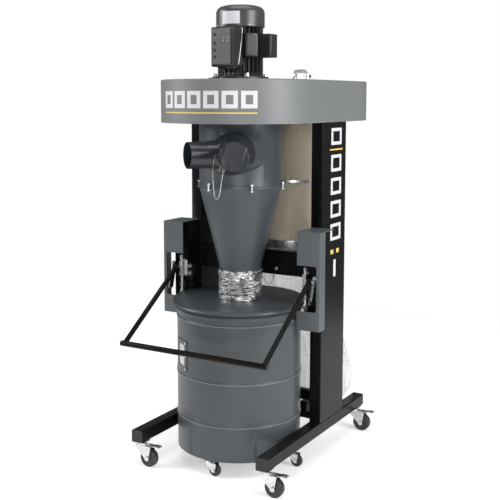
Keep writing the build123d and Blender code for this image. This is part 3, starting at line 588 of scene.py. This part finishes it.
# cords: the routes are in metres from the cyclone's axis
cordSettings = {
    "capLanyard": {"diameter": 0.0024, "length": 0.264, "route": [
        (0.079, -0.3195, 1.252), (0.078, -0.3265, 1.243), (0.078, -0.331, 1.220), (0.079, -0.333, 1.190),
        (0.081, -0.334, 1.160), (0.084, -0.335, 1.130), (0.089, -0.336, 1.107), (0.098, -0.337, 1.100),
        (0.107, -0.337, 1.110), (0.113, -0.337, 1.132), (0.117, -0.336, 1.158), (0.120, -0.335, 1.182),
        (0.124, -0.333, 1.203)]},
    "switchLead": {"diameter": 0.007, "length": 0.098, "route": [
        (0.0, -0.140, 1.573), (0.0, -0.140, 1.562), (-0.010, -0.143, 1.552), (-0.025, -0.146, 1.548),
        (-0.043, -0.142, 1.5472), (-0.060, -0.131, 1.5468), (-0.074, -0.116, 1.547)]},
    "groundWire": {"diameter": 0.0024, "length": 0.128, "route": [
        (0.104, 0.1095, 0.774), (0.104, 0.100, 0.7735), (0.107, 0.088, 0.764), (0.111, 0.076, 0.745),
        (0.112, 0.062, 0.727), (0.107, 0.049, 0.719), (0.099, 0.041, 0.725), (0.092, 0.036, 0.740),
        (0.0855, 0.033, 0.753)]},
}


def routeCurve(name, route, radius):
    data = bpy.data.curves.new(name, "CURVE")
    data.dimensions = "3D"
    line = data.splines.new("NURBS")
    line.points.add(len(route) - 1)
    for point, place in zip(line.points, route):
        point.co = (*fromAxis(*place), 1)
    line.order_u = 3
    line.use_endpoint_u = True
    line.resolution_u = 10
    data.bevel_depth = radius
    data.bevel_resolution = 4
    data.use_fill_caps = True
    piece = bpy.data.objects.new(name, data)
    bpy.context.scene.collection.objects.link(piece)
    return piece


def linePoints(route):  # the smooth line itself, from a curve with no thickness
    bare = routeCurve("bareLine", route, 0.0)
    mesh = bpy.data.meshes.new_from_object(bare.evaluated_get(bpy.context.evaluated_depsgraph_get()))
    points = [v.co.copy() for v in mesh.vertices]
    bpy.data.objects.remove(bare)
    return points


def eyelet(name, centre, normal, ringRadius, wireRadius, body):
    count, sides = 20, 8
    facing = Vector(normal).to_track_quat("Z", "Y")
    verts = []
    for k in range(count):
        a = 2 * math.pi * k / count
        out = facing @ Vector((math.cos(a), math.sin(a), 0))
        up = facing @ Vector((0, 0, 1))
        for s in range(sides):
            b = 2 * math.pi * s / sides
            away = ringRadius + wireRadius * math.cos(b)
            verts.append(Vector(centre) + out * away + up * wireRadius * math.sin(b))
    last = (count - 1) * sides
    faces = gridFaces(count, sides) + [(last + s, last + (s + 1) % sides, (s + 1) % sides, s)
                                       for s in range(sides)]
    return dress(fromFaces(name, verts, faces, 60), body, "brightSteel")


lanyard = cordSettings["capLanyard"]
path = linePoints(lanyard["route"])
capLanyard = tubeAlong("capLanyard", path, lanyard["diameter"] / 2, 10)
capLanyard.data.materials.append(paints["rope"])
fromAxis(0.088, -0.336, 1.15)
fromAxis(0.116, -0.336, 1.15)
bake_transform(capLanyard)
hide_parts("cap_lanyard")
eyelet("crotchRing", fromAxis(0.0792, -0.3175, 1.2555), (1, 0.2, 0.3), 0.0042, 0.0011, "stand")
capRing = eyelet("capRing", fromAxis(0.1245, -0.3325, 1.2075), (0.6, -0.8, 0.1), 0.0042, 0.0011, "cap")

lead = cordSettings["switchLead"]
switchLead = routeCurve("switchLead", lead["route"], lead["diameter"] / 2)
dress(switchLead, "stand", "softRubber")
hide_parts("switch_lead")
fromAxis(*lead["route"][0])

ground = cordSettings["groundWire"]
groundWire = routeCurve("groundWire", ground["route"], ground["diameter"] / 2)
dress(groundWire, "stand", "capPlastic")
fromAxis(*ground["route"][0])
bolts("groundBolt", "stand", [(spot(104, 112.9, 774), Vector((0, -1, 0)))], 0.0062, 0.0036)
print("cords laid")


# CAD nodes that keep their shape: a smoother copy where the surface is round or has long edges
def smoothCopy(node, paint, sharp=24):
    source = nodes[node]
    mesh = source.data.copy()
    work = bmesh.new()
    work.from_mesh(mesh)
    bmesh.ops.remove_doubles(work, verts=work.verts, dist=1e-5)
    bmesh.ops.dissolve_degenerate(work, edges=work.edges, dist=1e-6)
    work.to_mesh(mesh)
    work.free()
    mesh.shade_smooth()
    mesh.set_sharp_from_angle(angle=math.radians(sharp))
    words = node.split("_")
    name = words[0] + "".join(word.capitalize() for word in words[1:])
    piece = bpy.data.objects.new(name, mesh)
    bpy.context.scene.collection.objects.link(piece)
    even = piece.modifiers.new("evenShade", "WEIGHTED_NORMAL")  # wide faces keep their own direction
    even.keep_sharp, even.weight = True, 90
    shaded = bpy.data.meshes.new_from_object(piece.evaluated_get(bpy.context.evaluated_depsgraph_get()))
    piece.modifiers.remove(even)
    piece.data = shaded
    dress(piece, source["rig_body"], paint)
    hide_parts(node)
    return piece


nodePaints = {
    "frameBlack": ["filter_beam", "crossbars"],
    "plugPlastic": ["leg_end_caps"],
    "softRubber": ["lid_gasket"],
    "zinc": ["caster_plates", "fasteners", "lift_guides", "toggle_links", "filter_pan"],
    "castAlloy": ["impeller"],
    "brightSteel": ["motor_shaft"],
    "pane": ["sight_window"],
}
for paint, names in nodePaints.items():
    for node in names:
        for place in nodes[node].material_slots:
            place.material = paints[paint]

roundNodes = {
    "housing_shell": "housingGrey", "housing_floor": "housingGrey", "cyclone_barrel": "cycloneGrey",
    "cyclone_cone": "cycloneGrey", "inlet_wye": "fittingGrey", "port_cap": "capPlastic", "lid": "cycloneGrey",
    "drum": "cycloneGrey", "window_frame": "cycloneGrey", "fan_cover": "cowlGrey", "motor_body": "motorBlack",
    "capacitor_covers": "motorBlack", "switch_box": "boxPlastic", "handle_bail": "frameBlack",
    "filter_crank": "zinc", "lift_rods": "zinc", "leg_left": "frameBlack", "leg_right": "frameBlack",
    "post_left": "frameBlack", "post_right": "frameBlack", "side_covers": "coverGrey",
}
for k in range(1, 5):
    roundNodes[f"caster_fork_{k}"] = roundNodes[f"drum_fork_{k}"] = roundNodes[f"brake_pedal_{k}"] = "zinc"
    roundNodes[f"caster_wheel_{k}"] = roundNodes[f"drum_wheel_{k}"] = "tyre"
for node, paint in roundNodes.items():
    smoothCopy(node, paint)
plain = sum(len(names) for names in nodePaints.values())
print("carried over:", plain, "nodes as they are,", len(roundNodes), "smoothed")


# filter: pleated paper behind an expanded-metal guard
filterSettings = {"y": 470, "low": 850, "high": 1376, "pleats": 120, "outer": 0.1735, "inner": 0.152,
                  "guardRadius": 0.1752, "wires": 84, "turns": 0.62, "wireRadius": 0.00065}
pleatTree = Recipe("pleats", count=100, outer=0.17, inner=0.15, height=0.5)
star = pleatTree.add("CurveStar", Points=pleatTree["count"], Inner_Radius=pleatTree["inner"],
                     Outer_Radius=pleatTree["outer"])
star = pleatTree.add("FilletCurve", {"mode": "POLY"}, Curve=star, Count=3, Radius=0.0011)
edge = pleatTree.add("CurveToMesh", Curve=star)
pleatTree.close(pleatTree.add("ExtrudeMesh", {"mode": "EDGES"}, Mesh=edge,
                              Offset=pleatTree.vector(z=pleatTree["height"]), Offset_Scale=1.0))
guardTree = Recipe("guard", wires=60, radius=0.175, height=0.5, turns=0.6, thick=0.0007)
profile = guardTree.add("CurvePrimitiveCircle", Resolution=4, Radius=guardTree["thick"])
index = guardTree.add("InputIndex")
step = guardTree.times(fullTurn, guardTree["wires"], "DIVIDE")
swing = guardTree.vector(z=guardTree.times(index, step))
ways = []
for reverse in (False, True):
    coil = guardTree.add("CurveSpiral", Resolution=44, Rotations=guardTree["turns"],
                         Start_Radius=guardTree["radius"], End_Radius=guardTree["radius"],
                         Height=guardTree["height"], Reverse=reverse)
    seeds = guardTree.add("Points", Count=guardTree["wires"])
    ways.append(guardTree.add("InstanceOnPoints", Points=seeds, Instance=coil, Rotation=swing))
lines = guardTree.add("RealizeInstances", Geometry=guardTree.add("JoinGeometry",
                                                                             Geometry=ways))
guardTree.close(guardTree.add("CurveToMesh", Curve=lines, Profile_Curve=profile))


def moved(piece, x, y, z):  # puts a piece's place in its mesh
    piece.data.transform(Matrix.Translation(spot(x, y, z)))
    return piece


f = filterSettings
tall = (f["high"] - f["low"]) / 1000
pleats = pleatTree.grow("filterPleats", "paper", count=f["pleats"], outer=f["outer"], inner=f["inner"],
                        height=tall)
dress(moved(pleats, 0, f["y"], f["low"]), "stand", "paper")
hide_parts("filter_element")
guard = guardTree.grow("filterGuard", "meshWire", wires=f["wires"], radius=f["guardRadius"], height=tall,
                       turns=f["turns"], thick=f["wireRadius"], sharp=60)
dress(moved(guard, 0, f["y"], f["low"]), "stand", "meshWire")
for name, low in (("filterHoopLow", 850.5), ("filterHoopMid", 1112), ("filterHoopTop", 1362)):
    hoop = curvedPlate(name, 175.2, 0, 360, low, low + 12, 1.6, 72, 0.8, f["y"])
    dress(hoop, "stand", "zinc")
print("filter made")


# clear bag, full at the bottom and clamped on the pan
bagSettings = {"rows": 84, "columns": 176, "folds": 23, "foldDepth": 5.0, "crumple": 5.0,
               "sections": [(826, 0, 175.8), (800, 0, 175.0), (770, 0, 172), (700, 2, 171), (560, 14, 178),
                            (400, 44, 206), (270, 68, 236), (190, 76, 243), (140, 73, 231), (116, 67, 196),
                            (112, 66, 170)]}


def smoothStep(low, high, x):
    t = min(1, max(0, (x - low) / (high - low)))
    return t * t * (3 - 2 * t)


def bagSection(sections, t):  # a smooth pass through the listed heights
    position = t * (len(sections) - 1)
    k = min(int(position), len(sections) - 2)
    u = position - k
    near = [sections[min(max(k + d, 0), len(sections) - 1)] for d in (-1, 0, 1, 2)]
    return [0.5 * (2 * p1 + (p2 - p0) * u + (2 * p0 - 5 * p1 + 4 * p2 - p3) * u * u
                   + (3 * p1 - p0 - 3 * p2 + p3) * u ** 3) for p0, p1, p2, p3 in zip(*near)]


b = bagSettings
verts = []
for row in range(b["rows"]):
    t = row / (b["rows"] - 1)
    z, shift, radius = bagSection(b["sections"], t)
    gather = smoothStep(826, 770, z) * (1 - smoothStep(640, 380, z) * 0.75)
    belly = smoothStep(640, 300, z)
    foot = smoothStep(250, 130, z)
    for k in range(b["columns"]):
        a = 2 * math.pi * k / b["columns"]
        wander = noise.noise(Vector((math.cos(a) * 1.6, math.sin(a) * 1.6, z / 210)))
        fold = math.cos(a * b["folds"] + wander * 7) * gather * b["foldDepth"] * (0.55 + 0.45 * wander)
        crush = noise.noise(Vector((math.cos(a) * 4.2, math.sin(a) * 4.2, z / 75))) * belly * b["crumple"]
        crush += abs(noise.noise(Vector((math.cos(a) * 8, math.sin(a) * 8, z / 130 + 5)))) * belly * -7
        pucker = math.cos(a * 15 + wander * 9) * foot * 5.5
        r = radius - 3 * gather + fold + crush + pucker - 4 * foot
        verts.append(spot(r * math.sin(a), f["y"] + shift - r * math.cos(a), z + pucker * 0.4 * foot))
rows = b["rows"]
for share in (0.82, 0.6, 0.36, 0.14):  # rings that close the bottom
    for k in range(b["columns"]):
        a = 2 * math.pi * k / b["columns"]
        z, shift, radius = b["sections"][-1]
        r = radius * share
        lift = noise.noise(Vector((math.cos(a) * 2 * share, math.sin(a) * 2 * share, 3))) * 4 + 2
        verts.append(spot(r * math.sin(a), f["y"] + shift - r * math.cos(a), z + lift))
    rows += 1
verts.append(spot(0, f["y"] + b["sections"][-1][1], 114))
faces = gridFaces(rows, b["columns"])
last = (rows - 1) * b["columns"]
faces += [(last + k, last + (k + 1) % b["columns"], len(verts) - 1) for k in range(b["columns"])]
bag = fromFaces("dustBag", verts, faces, 80)
dress(bag, "stand", "bagFilm")
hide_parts("dust_bag")
strap = curvedPlate("bagStrap", 176.6, 0, 360, 806, 820, 1.4, 90, 0.5, f["y"])
dress(strap, "stand", "zinc")
buckle = bevelBox("bagBuckle", (-16, f["y"] - 186, 803), (16, f["y"] - 176, 823), 0.002, 3)
dress(buckle, "stand", "zinc")
print("bag made:", len(bag.data.polygons), "faces")


# short hose between the cone and the lid, and the bands that hold it
hoseSettings = {"top": 748, "bottom": 688.4, "radius": 87.5, "columns": 150, "rows": 22, "crush": 3.2}
h = hoseSettings


def crumpled(name, low, high, radius, rows, columns, depth, pitch, seed, wall=0.0009):
    verts = []
    for layer in (0, 1):
        for row in range(rows):
            z = low + (high - low) * row / (rows - 1)
            hold = min(1, 5 * min(row, rows - 1 - row) / (rows - 1))
            for k in range(columns):
                a = 2 * math.pi * k / columns
                slant = noise.noise(Vector((math.cos(a) * pitch, math.sin(a) * pitch, z / 17 + seed)))
                twist = a + z / 90
                crease = abs(noise.noise(Vector((math.cos(twist) * pitch * 1.7, math.sin(twist) * pitch * 1.7,
                                                 z / 30 - seed))))
                r = radius + (slant * depth - crease * depth) * hold - layer * wall * 1000
                verts.append(spot(r * math.sin(a), -r * math.cos(a), z))
    outer = gridFaces(rows, columns)
    shift = rows * columns
    faces = outer + [tuple(i + shift for i in reversed(face)) for face in outer]
    for k in range(columns):
        n = (k + 1) % columns
        top = (rows - 1) * columns
        faces += [(k, k + shift, n + shift, n), (top + k, top + n, top + n + shift, top + k + shift)]
    return fromFaces(name, verts, faces, 70)


hose = crumpled("flexHose", h["bottom"], h["top"], h["radius"], h["rows"], h["columns"], h["crush"], 6, 2)
hose.data.materials.append(paints["hoseFilm"])
spot(0, 0, h["top"])
spot(0, 0, h["bottom"])
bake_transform(hose)
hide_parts("flex_hose")
coilTree = Recipe("hoseWire", turns=3.0, radius=0.08, height=0.05, thick=0.001)
profile = coilTree.add("CurvePrimitiveCircle", Resolution=8, Radius=coilTree["thick"])
coil = coilTree.add("CurveSpiral", Resolution=56, Rotations=coilTree["turns"],
                    Start_Radius=coilTree["radius"], End_Radius=coilTree["radius"], Height=coilTree["height"])
coilTree.close(coilTree.add("CurveToMesh", Curve=coil, Profile_Curve=profile, Fill_Caps=True))
hoseWire = coilTree.grow("hoseWire", "brightSteel", turns=3.0, radius=0.0865, height=0.05, thick=0.0012,
                         sharp=60)
hoseWire.data.materials.clear()
hoseWire.data.materials.append(paints["brightSteel"])
moved(hoseWire, 0, 0, 693)
spot(0, 0, h["top"])
spot(0, 0, h["bottom"])
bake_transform(hoseWire)
for name, node, body, low, high, seed in (("bandUpper", "hose_band_upper", "stand", 748, 786, 4),
                                          ("bandLower", "hose_band_lower", "lid", 666, 688, 9)):
    band = crumpled(name, low, high, 90.4, 14, 150, 2.2, 5, seed, 0.0012)
    dress(band, body, "foil")
    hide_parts(node)
    middle = (low + high) / 2
    clamp = curvedPlate(name + "Clamp", 91.0, 0, 360, middle - 5, middle + 5, 0.8, 96, 0.3)
    dress(clamp, body, "zinc")
    gear = bevelBox(name + "Worm", (80, -48, middle - 6), (93, -30, middle + 6), 0.0015, 3)
    dress(gear, body, "zinc")
print("hose made")


# plain markings: a thin rule, blank outlines and short bars, with no letters
def blankMark(name, placeOf, left, right, low, high, lineWide, lineHigh, paint, slotName, steps=6):
    inner = [left + lineWide + (right - left - 2 * lineWide) * k / steps for k in range(steps + 1)]
    columns, rows = [left] + inner + [right], [low, low + lineHigh, high - lineHigh, high]
    verts = [placeOf(column, row) for row in rows for column in columns]
    faces = [(r * len(columns) + c, r * len(columns) + c + 1, (r + 1) * len(columns) + c + 1,
              (r + 1) * len(columns) + c)
             for r in range(len(rows) - 1) for c in range(len(columns) - 1)
             if r != 1 or c in (0, len(columns) - 2)]
    work = bmesh.new()
    corners = [work.verts.new(v) for v in verts]
    for face in faces:
        work.faces.new([corners[k] for k in face])
    bmesh.ops.delete(work, geom=[v for v in work.verts if not v.link_faces], context="VERTS")
    bmesh.ops.solidify(work, geom=work.faces[:], thickness=markSettings["lineThick"])
    mesh = bpy.data.meshes.new(name)
    work.to_mesh(mesh)
    work.free()
    return dress(meshPiece(name, mesh, 30), "stand", paint)


markSettings = {
    "housingRadius": 316.3, "housingStart": -34.5, "housingWide": 11.0, "housingStep": 13.1,
    "housingLow": 1434, "housingHigh": 1498, "housingLines": (3.0, 15.0),  # degrees wide, millimetres high
    "postFace": 311.25, "postFront": 192, "postBack": 290, "postHigh": 68, "postLines": (17.0, 13.0),
    "lineThick": 0.0002,
    "postBars": ((1262, 1268, 178, 300, "yellowInk"), (838, 856, 196, 222, "yellowInk"),
                 (838, 856, 250, 276, "yellowInk"), (742, 812, 224, 246, "whiteInk")),
}
rule = curvedPlate("housingRule", 316.05, -34.5, 42, 1414.5, 1419.5, 0.3, 48, 0.05)
dress(rule, "stand", "yellowInk")


def onHousing(degrees, z):
    return around(markSettings["housingRadius"], degrees, z)


def onPost(y, z):
    return spot(markSettings["postFace"], y, z)


for k in range(6):  # blank outlines in place of lettering
    start = markSettings["housingStart"] + markSettings["housingStep"] * k
    blankMark(f"housingBlock{k + 1}", onHousing, start, start + markSettings["housingWide"],
              markSettings["housingLow"], markSettings["housingHigh"], *markSettings["housingLines"],
              "whiteInk", "grey_housing")
for k, low in enumerate((1284, 1176, 1082, 988, 894)):
    blankMark(f"postBlock{k + 1}", onPost, markSettings["postFront"], markSettings["postBack"], low,
              low + markSettings["postHigh"], *markSettings["postLines"], "whiteInk", "black_frame", 1)
for k, (low, high, y0, y1, paint) in enumerate(markSettings["postBars"]):
    mark = bevelBox(f"postMark{k + 1}", (311.02, y0, low), (311.3, y1, high), 0.0001, 1)
    dress(mark, "stand", paint)


# motor: plate, screws, the control box's face and trim, bright steel rods as painted highlights on the
# capacitor covers' edges, and dark bars as painted shade in the cowl's cooling slots
motorSettings = {
    "plate": {"radius": 96.1, "start": -15, "stop": 29, "low": 1757, "high": 1805, "thick": 0.6},
    "heads": (  # name, radius, turns, heights, head size
        ("plateRivets", 96.8, (-12.5, 26.5), (1761, 1801), 0.0018),
        ("cowlScrews", 96.2, (-38, 52, 142, 232), (1753,), 0.0036)),
    # painted shade: thin black bars on the cowl's top stand in for the shade inside its cooling slots
    "slots": {"top": 1832.1, "wide": 0.0032, "thick": 0.0008,
              "rings": (("cowlSlotsOuter", 0.052, 0.016, 28), ("cowlSlotsInner", 0.031, 0.014, 18))},
    # painted highlight: bright steel rods along the capacitor covers' edges stand in for the light those
    # edges catch
    "coverTrims": {"out": 0.092, "aside": 0.0264, "low": 1629, "high": 1717, "thick": 0.0016,
                   "angles": (("coverTrimFront", 48), ("coverTrimRight", 87))},
}
b = boxSettings = {
    "faceLow": (-25, -170.2, 1600), "faceHigh": (56, -167.8, 1735), "faceEdge": 0.001,
    "lamps": ((25, 1698, "greenDot"), (43, 1699, "paleDot"), (25, 1688, "paleDot"), (43, 1688, "paleDot")),
    "lampSize": 0.0022, "keyHeights": (1622, 1648, 1674, 1706), "keyTall": 11,
    "trimThick": 0.0022,
    "trim": ((71, -108, 1738), (71.5, -112, 1700), (70.5, -122, 1650), (69, -130, 1604), (64, -133, 1592),
             (54, -134, 1588), (20, -135, 1587.6), (-22, -135, 1587.6)),
}
plate = motorSettings["plate"]
plateBlank = curvedPlate("ratingPlate", plate["radius"], plate["start"], plate["stop"], plate["low"],
                         plate["high"], plate["thick"], 20, 0.2)
dress(plateBlank, "stand", "whiteInk")
for name, radius, turns, heights, size in motorSettings["heads"]:
    screws(name, "stand", [(around(radius, a, z), around(1, a, z) - around(0, a, z))
                           for a in turns for z in heights], size)
# rings of thin black bars: painted shade for the cooling slots
slotTree = Recipe("coolingSlots", count=24, radius=0.05, long=0.02, wide=0.003, thick=0.0006)
ringOf = slotTree.add("MeshCircle", Vertices=slotTree["count"], Radius=slotTree["radius"])
bar = slotTree.add("MeshCube", Size=slotTree.vector(slotTree["long"], slotTree["wide"],
                                                                 slotTree["thick"]))
index = slotTree.add("InputIndex")
turn = slotTree.vector(z=slotTree.times(index, slotTree.times(fullTurn, slotTree["count"], "DIVIDE")))
slotTree.close(slotTree.add("InstanceOnPoints", Points=ringOf, Instance=bar, Rotation=turn))
slotSizes = motorSettings["slots"]
for name, radius, long, count in slotSizes["rings"]:
    slots = slotTree.grow(name, "plugPlastic", count=count, radius=radius, long=long, wide=slotSizes["wide"],
                          thick=slotSizes["thick"])
    dress(moved(slots, 0, 0, slotSizes["top"]), "stand", "plugPlastic")
face = bevelBox("boxFace", b["faceLow"], b["faceHigh"], b["faceEdge"], 3)
dress(face, "stand", "facePlate")
front = b["faceLow"][1]
for k, (x, z, paint) in enumerate(b["lamps"]):
    screws(f"boxLamp{k + 1}", "stand", [(spot(x, front, z), Vector((0, -1, 0)))], b["lampSize"],
           paint, 0.4)
for k, z in enumerate(b["keyHeights"]):
    key = bevelBox(f"boxKey{k + 1}", (-19, -171.2, z), (-8, -170, z + b["keyTall"]), 0.0006, 2)
    dress(key, "stand", "boxPlastic")
trim = tubeAlong("boxTrim", [spot(*place) for place in b["trim"]], b["trimThick"], 10)
dress(trim, "stand", "brightSteel")
# painted highlights on the capacitor covers' edges, drawn as thin bright steel rods
coverGlint = motorSettings["coverTrims"]
for name, angle in coverGlint["angles"]:
    a = math.radians(angle)
    out, side = Vector((math.sin(a), -math.cos(a), 0)), Vector((math.cos(a), math.sin(a), 0))
    corner = out * coverGlint["out"] - side * coverGlint["aside"]
    low, high = spot(0, 0, coverGlint["low"]) + corner, spot(0, 0, coverGlint["high"]) + corner
    dress(tubeAlong(name, [low, low + (high - low) * 0.5, high], coverGlint["thick"], 8), "stand",
          "brightSteel")

# bolts and nuts of the stand and the lift
up, down, rightWay = Vector((0, 0, 1)), Vector((0, 0, -1)), Vector((1, 0, 0))
rimTurns, bothSides = [105 + 60 * k for k in range(6)], (-1, 1)
fixings = (  # name, body, places and ways, head width, head height
    ("flangeBolts", "stand", [(around(102, a, 1563), up) for a in (45, 135, 225, 315)], 0.0072, 0.005),
    ("rimBolts", "stand", [(around(175, a, 1137), up) for a in rimTurns], 0.0062, 0.004),
    ("rimNuts", "stand", [(around(175, a, 1115), down) for a in rimTurns], 0.0062, 0.004),
    ("guideBolts", "stand", [(spot(s * 270.5, 36, z), rightWay * -s) for s in bothSides
                             for z in (733, 764)], 0.0078, 0.005),
    ("pivotNuts", "stand", [(spot(s * 327.6, 0, 762), rightWay * s) for s in bothSides], 0.0085, 0.005),
    ("linkNuts", "toggles", [(spot(s * 336.6, 8, 774), rightWay * s) for s in bothSides], 0.007, 0.004),
)
for name, body, heads, across, tall in fixings:
    bolts(name, body, heads, across, tall)
print("motor and fixings made")


# casters: axle nuts and swivel bearings
c = casterSettings = {
    "side": 286, "front": -302, "rear": 515, "axleTrail": 40, "axleHeight": 37.5, "axleHalf": 21,
    "drumRing": 240, "drumTurn": 2, "drumY": -10, "drumTrail": 24, "drumAxle": 25, "drumHalf": 16,
}
places = [(x, y) for y in (c["front"], c["rear"]) for x in (-c["side"], c["side"])]
for k, (x, y) in enumerate(places, 1):
    bolts(f"axleNuts{k}", f"frame_fork_{k}",
          [(spot(x + c["axleTrail"], y + s * c["axleHalf"], c["axleHeight"]), Vector((0, s, 0)))
           for s in (-1, 1)], 0.0078, 0.005)
    race = curvedPlate(f"swivelRace{k}", 20.0, 0, 360, 88.5, 94.0, 1.6, 36, 1.2, 0)
    race.data.transform(Matrix.Translation((x / 1000, y / 1000, 0)))
    dress(race, f"frame_fork_{k}", "zinc")
    bolts(f"plateBolts{k}", "stand", [(spot(x + i * 20, y + j * 21, 96), down)
                                      for i in (-1, 1) for j in (-1, 1)], 0.0046, 0.003)
    angle = math.radians(c["drumTurn"] + 90 * (k - 1))
    x, y = c["drumRing"] * math.cos(angle), c["drumRing"] * math.sin(angle) + c["drumY"]
    bolts(f"smallAxleNuts{k}", f"small_fork_{k}",
          [(spot(x + c["drumTrail"], y + s * c["drumHalf"], c["drumAxle"]), Vector((0, s, 0)))
           for s in (-1, 1)], 0.0052, 0.0035)
print("caster details made")


# drum: a rolled bead under the rim, painted highlight rings along the beads, window screws
def turnedRing(name, profile, columns=160, y=0.0):
    verts = [around(r, 360 * k / columns, z, y) for k in range(columns) for r, z in profile]
    count = len(profile)
    faces = []
    for k in range(columns):
        n = (k + 1) % columns
        for s in range(count):
            q = (s + 1) % count
            faces.append((k * count + s, n * count + s, n * count + q, k * count + q))
    return fromFaces(name, verts, faces, 40)


d = drumSettings = {
    "y": -10, "edges": (("beadEdgeLow", 200.4), ("beadEdgeMiddle", 371.4), ("beadEdgeHigh", 600.2)),
    "screwRadius": 256.7, "screwTurn": 235, "screwSpread": math.degrees(41 / 252),
    "screwHeight": 457, "screwRises": (-52, 0, 52),
}
bead = [(251.6, 598), (253.0, 599), (254.2, 601.4), (254.2, 604), (253.0, 606.4), (251.6, 607.4)]
dress(turnedRing("drumBead", bead, y=d["y"]), "drum", "cycloneGrey")
for name, z in d["edges"]:  # painted highlights: light grey rings along the rolled beads stand in for the light their shoulders catch
    edge = [(253.2, z - 0.9), (254.9, z - 0.7), (255.2, z), (254.9, z + 0.7), (253.2, z + 0.9)]
    dress(turnedRing(name, edge, y=d["y"]), "drum", "edgeGrey")
windowScrews = []
for rise in d["screwRises"]:
    for side in (-1, 1):
        a = math.radians(d["screwTurn"] + side * d["screwSpread"])
        way = Vector((math.cos(a), math.sin(a), 0))
        windowScrews.append((spot(d["screwRadius"] * math.cos(a), d["screwRadius"] * math.sin(a) + d["y"],
                                  d["screwHeight"] + rise), way))
screws("windowScrews", "drum", windowScrews, 0.0046, flat=0.5)

# handle: closed ends on the cross bar
for name, side in (("handlePlugLeft", -1), ("handlePlugRight", 1)):
    plug = [(0.2, 0), (9.5, 0), (10.6, 1.2), (10.6, 3.0), (8.6, 4.6), (0.2, 5.0)]
    sides, verts = 24, []
    for r, out in plug:
        for k in range(sides):
            a = fullTurn * k / sides
            verts.append(spot(side * (327 + out), -366 + r * math.cos(a), 511 + r * math.sin(a)))
    ends = [tuple(range(sides)), tuple((len(plug) - 1) * sides + k for k in range(sides))]
    faces = gridFaces(len(plug), sides) + ends
    dress(fromFaces(name, verts, faces, 40), "handle", "plugPlastic")
print("drum and handle details made")

# stage
floorSettings = {"radius": 2.6, "sides": 96}
floorTurns = [fullTurn * k / floorSettings["sides"] for k in range(floorSettings["sides"])]
floorMesh = bpy.data.meshes.new("floor")
floorMesh.from_pydata([(floorSettings["radius"] * math.cos(a), floorSettings["radius"] * math.sin(a), 0)
                       for a in floorTurns], [], [tuple(range(floorSettings["sides"]))])
floorMesh.materials.append(paints["floorPale"])
floor = bpy.data.objects.new("floor", floorMesh)
bpy.context.scene.collection.objects.link(floor)
bpy.context.scene.view_settings.view_transform = "Standard"
print("stage made")
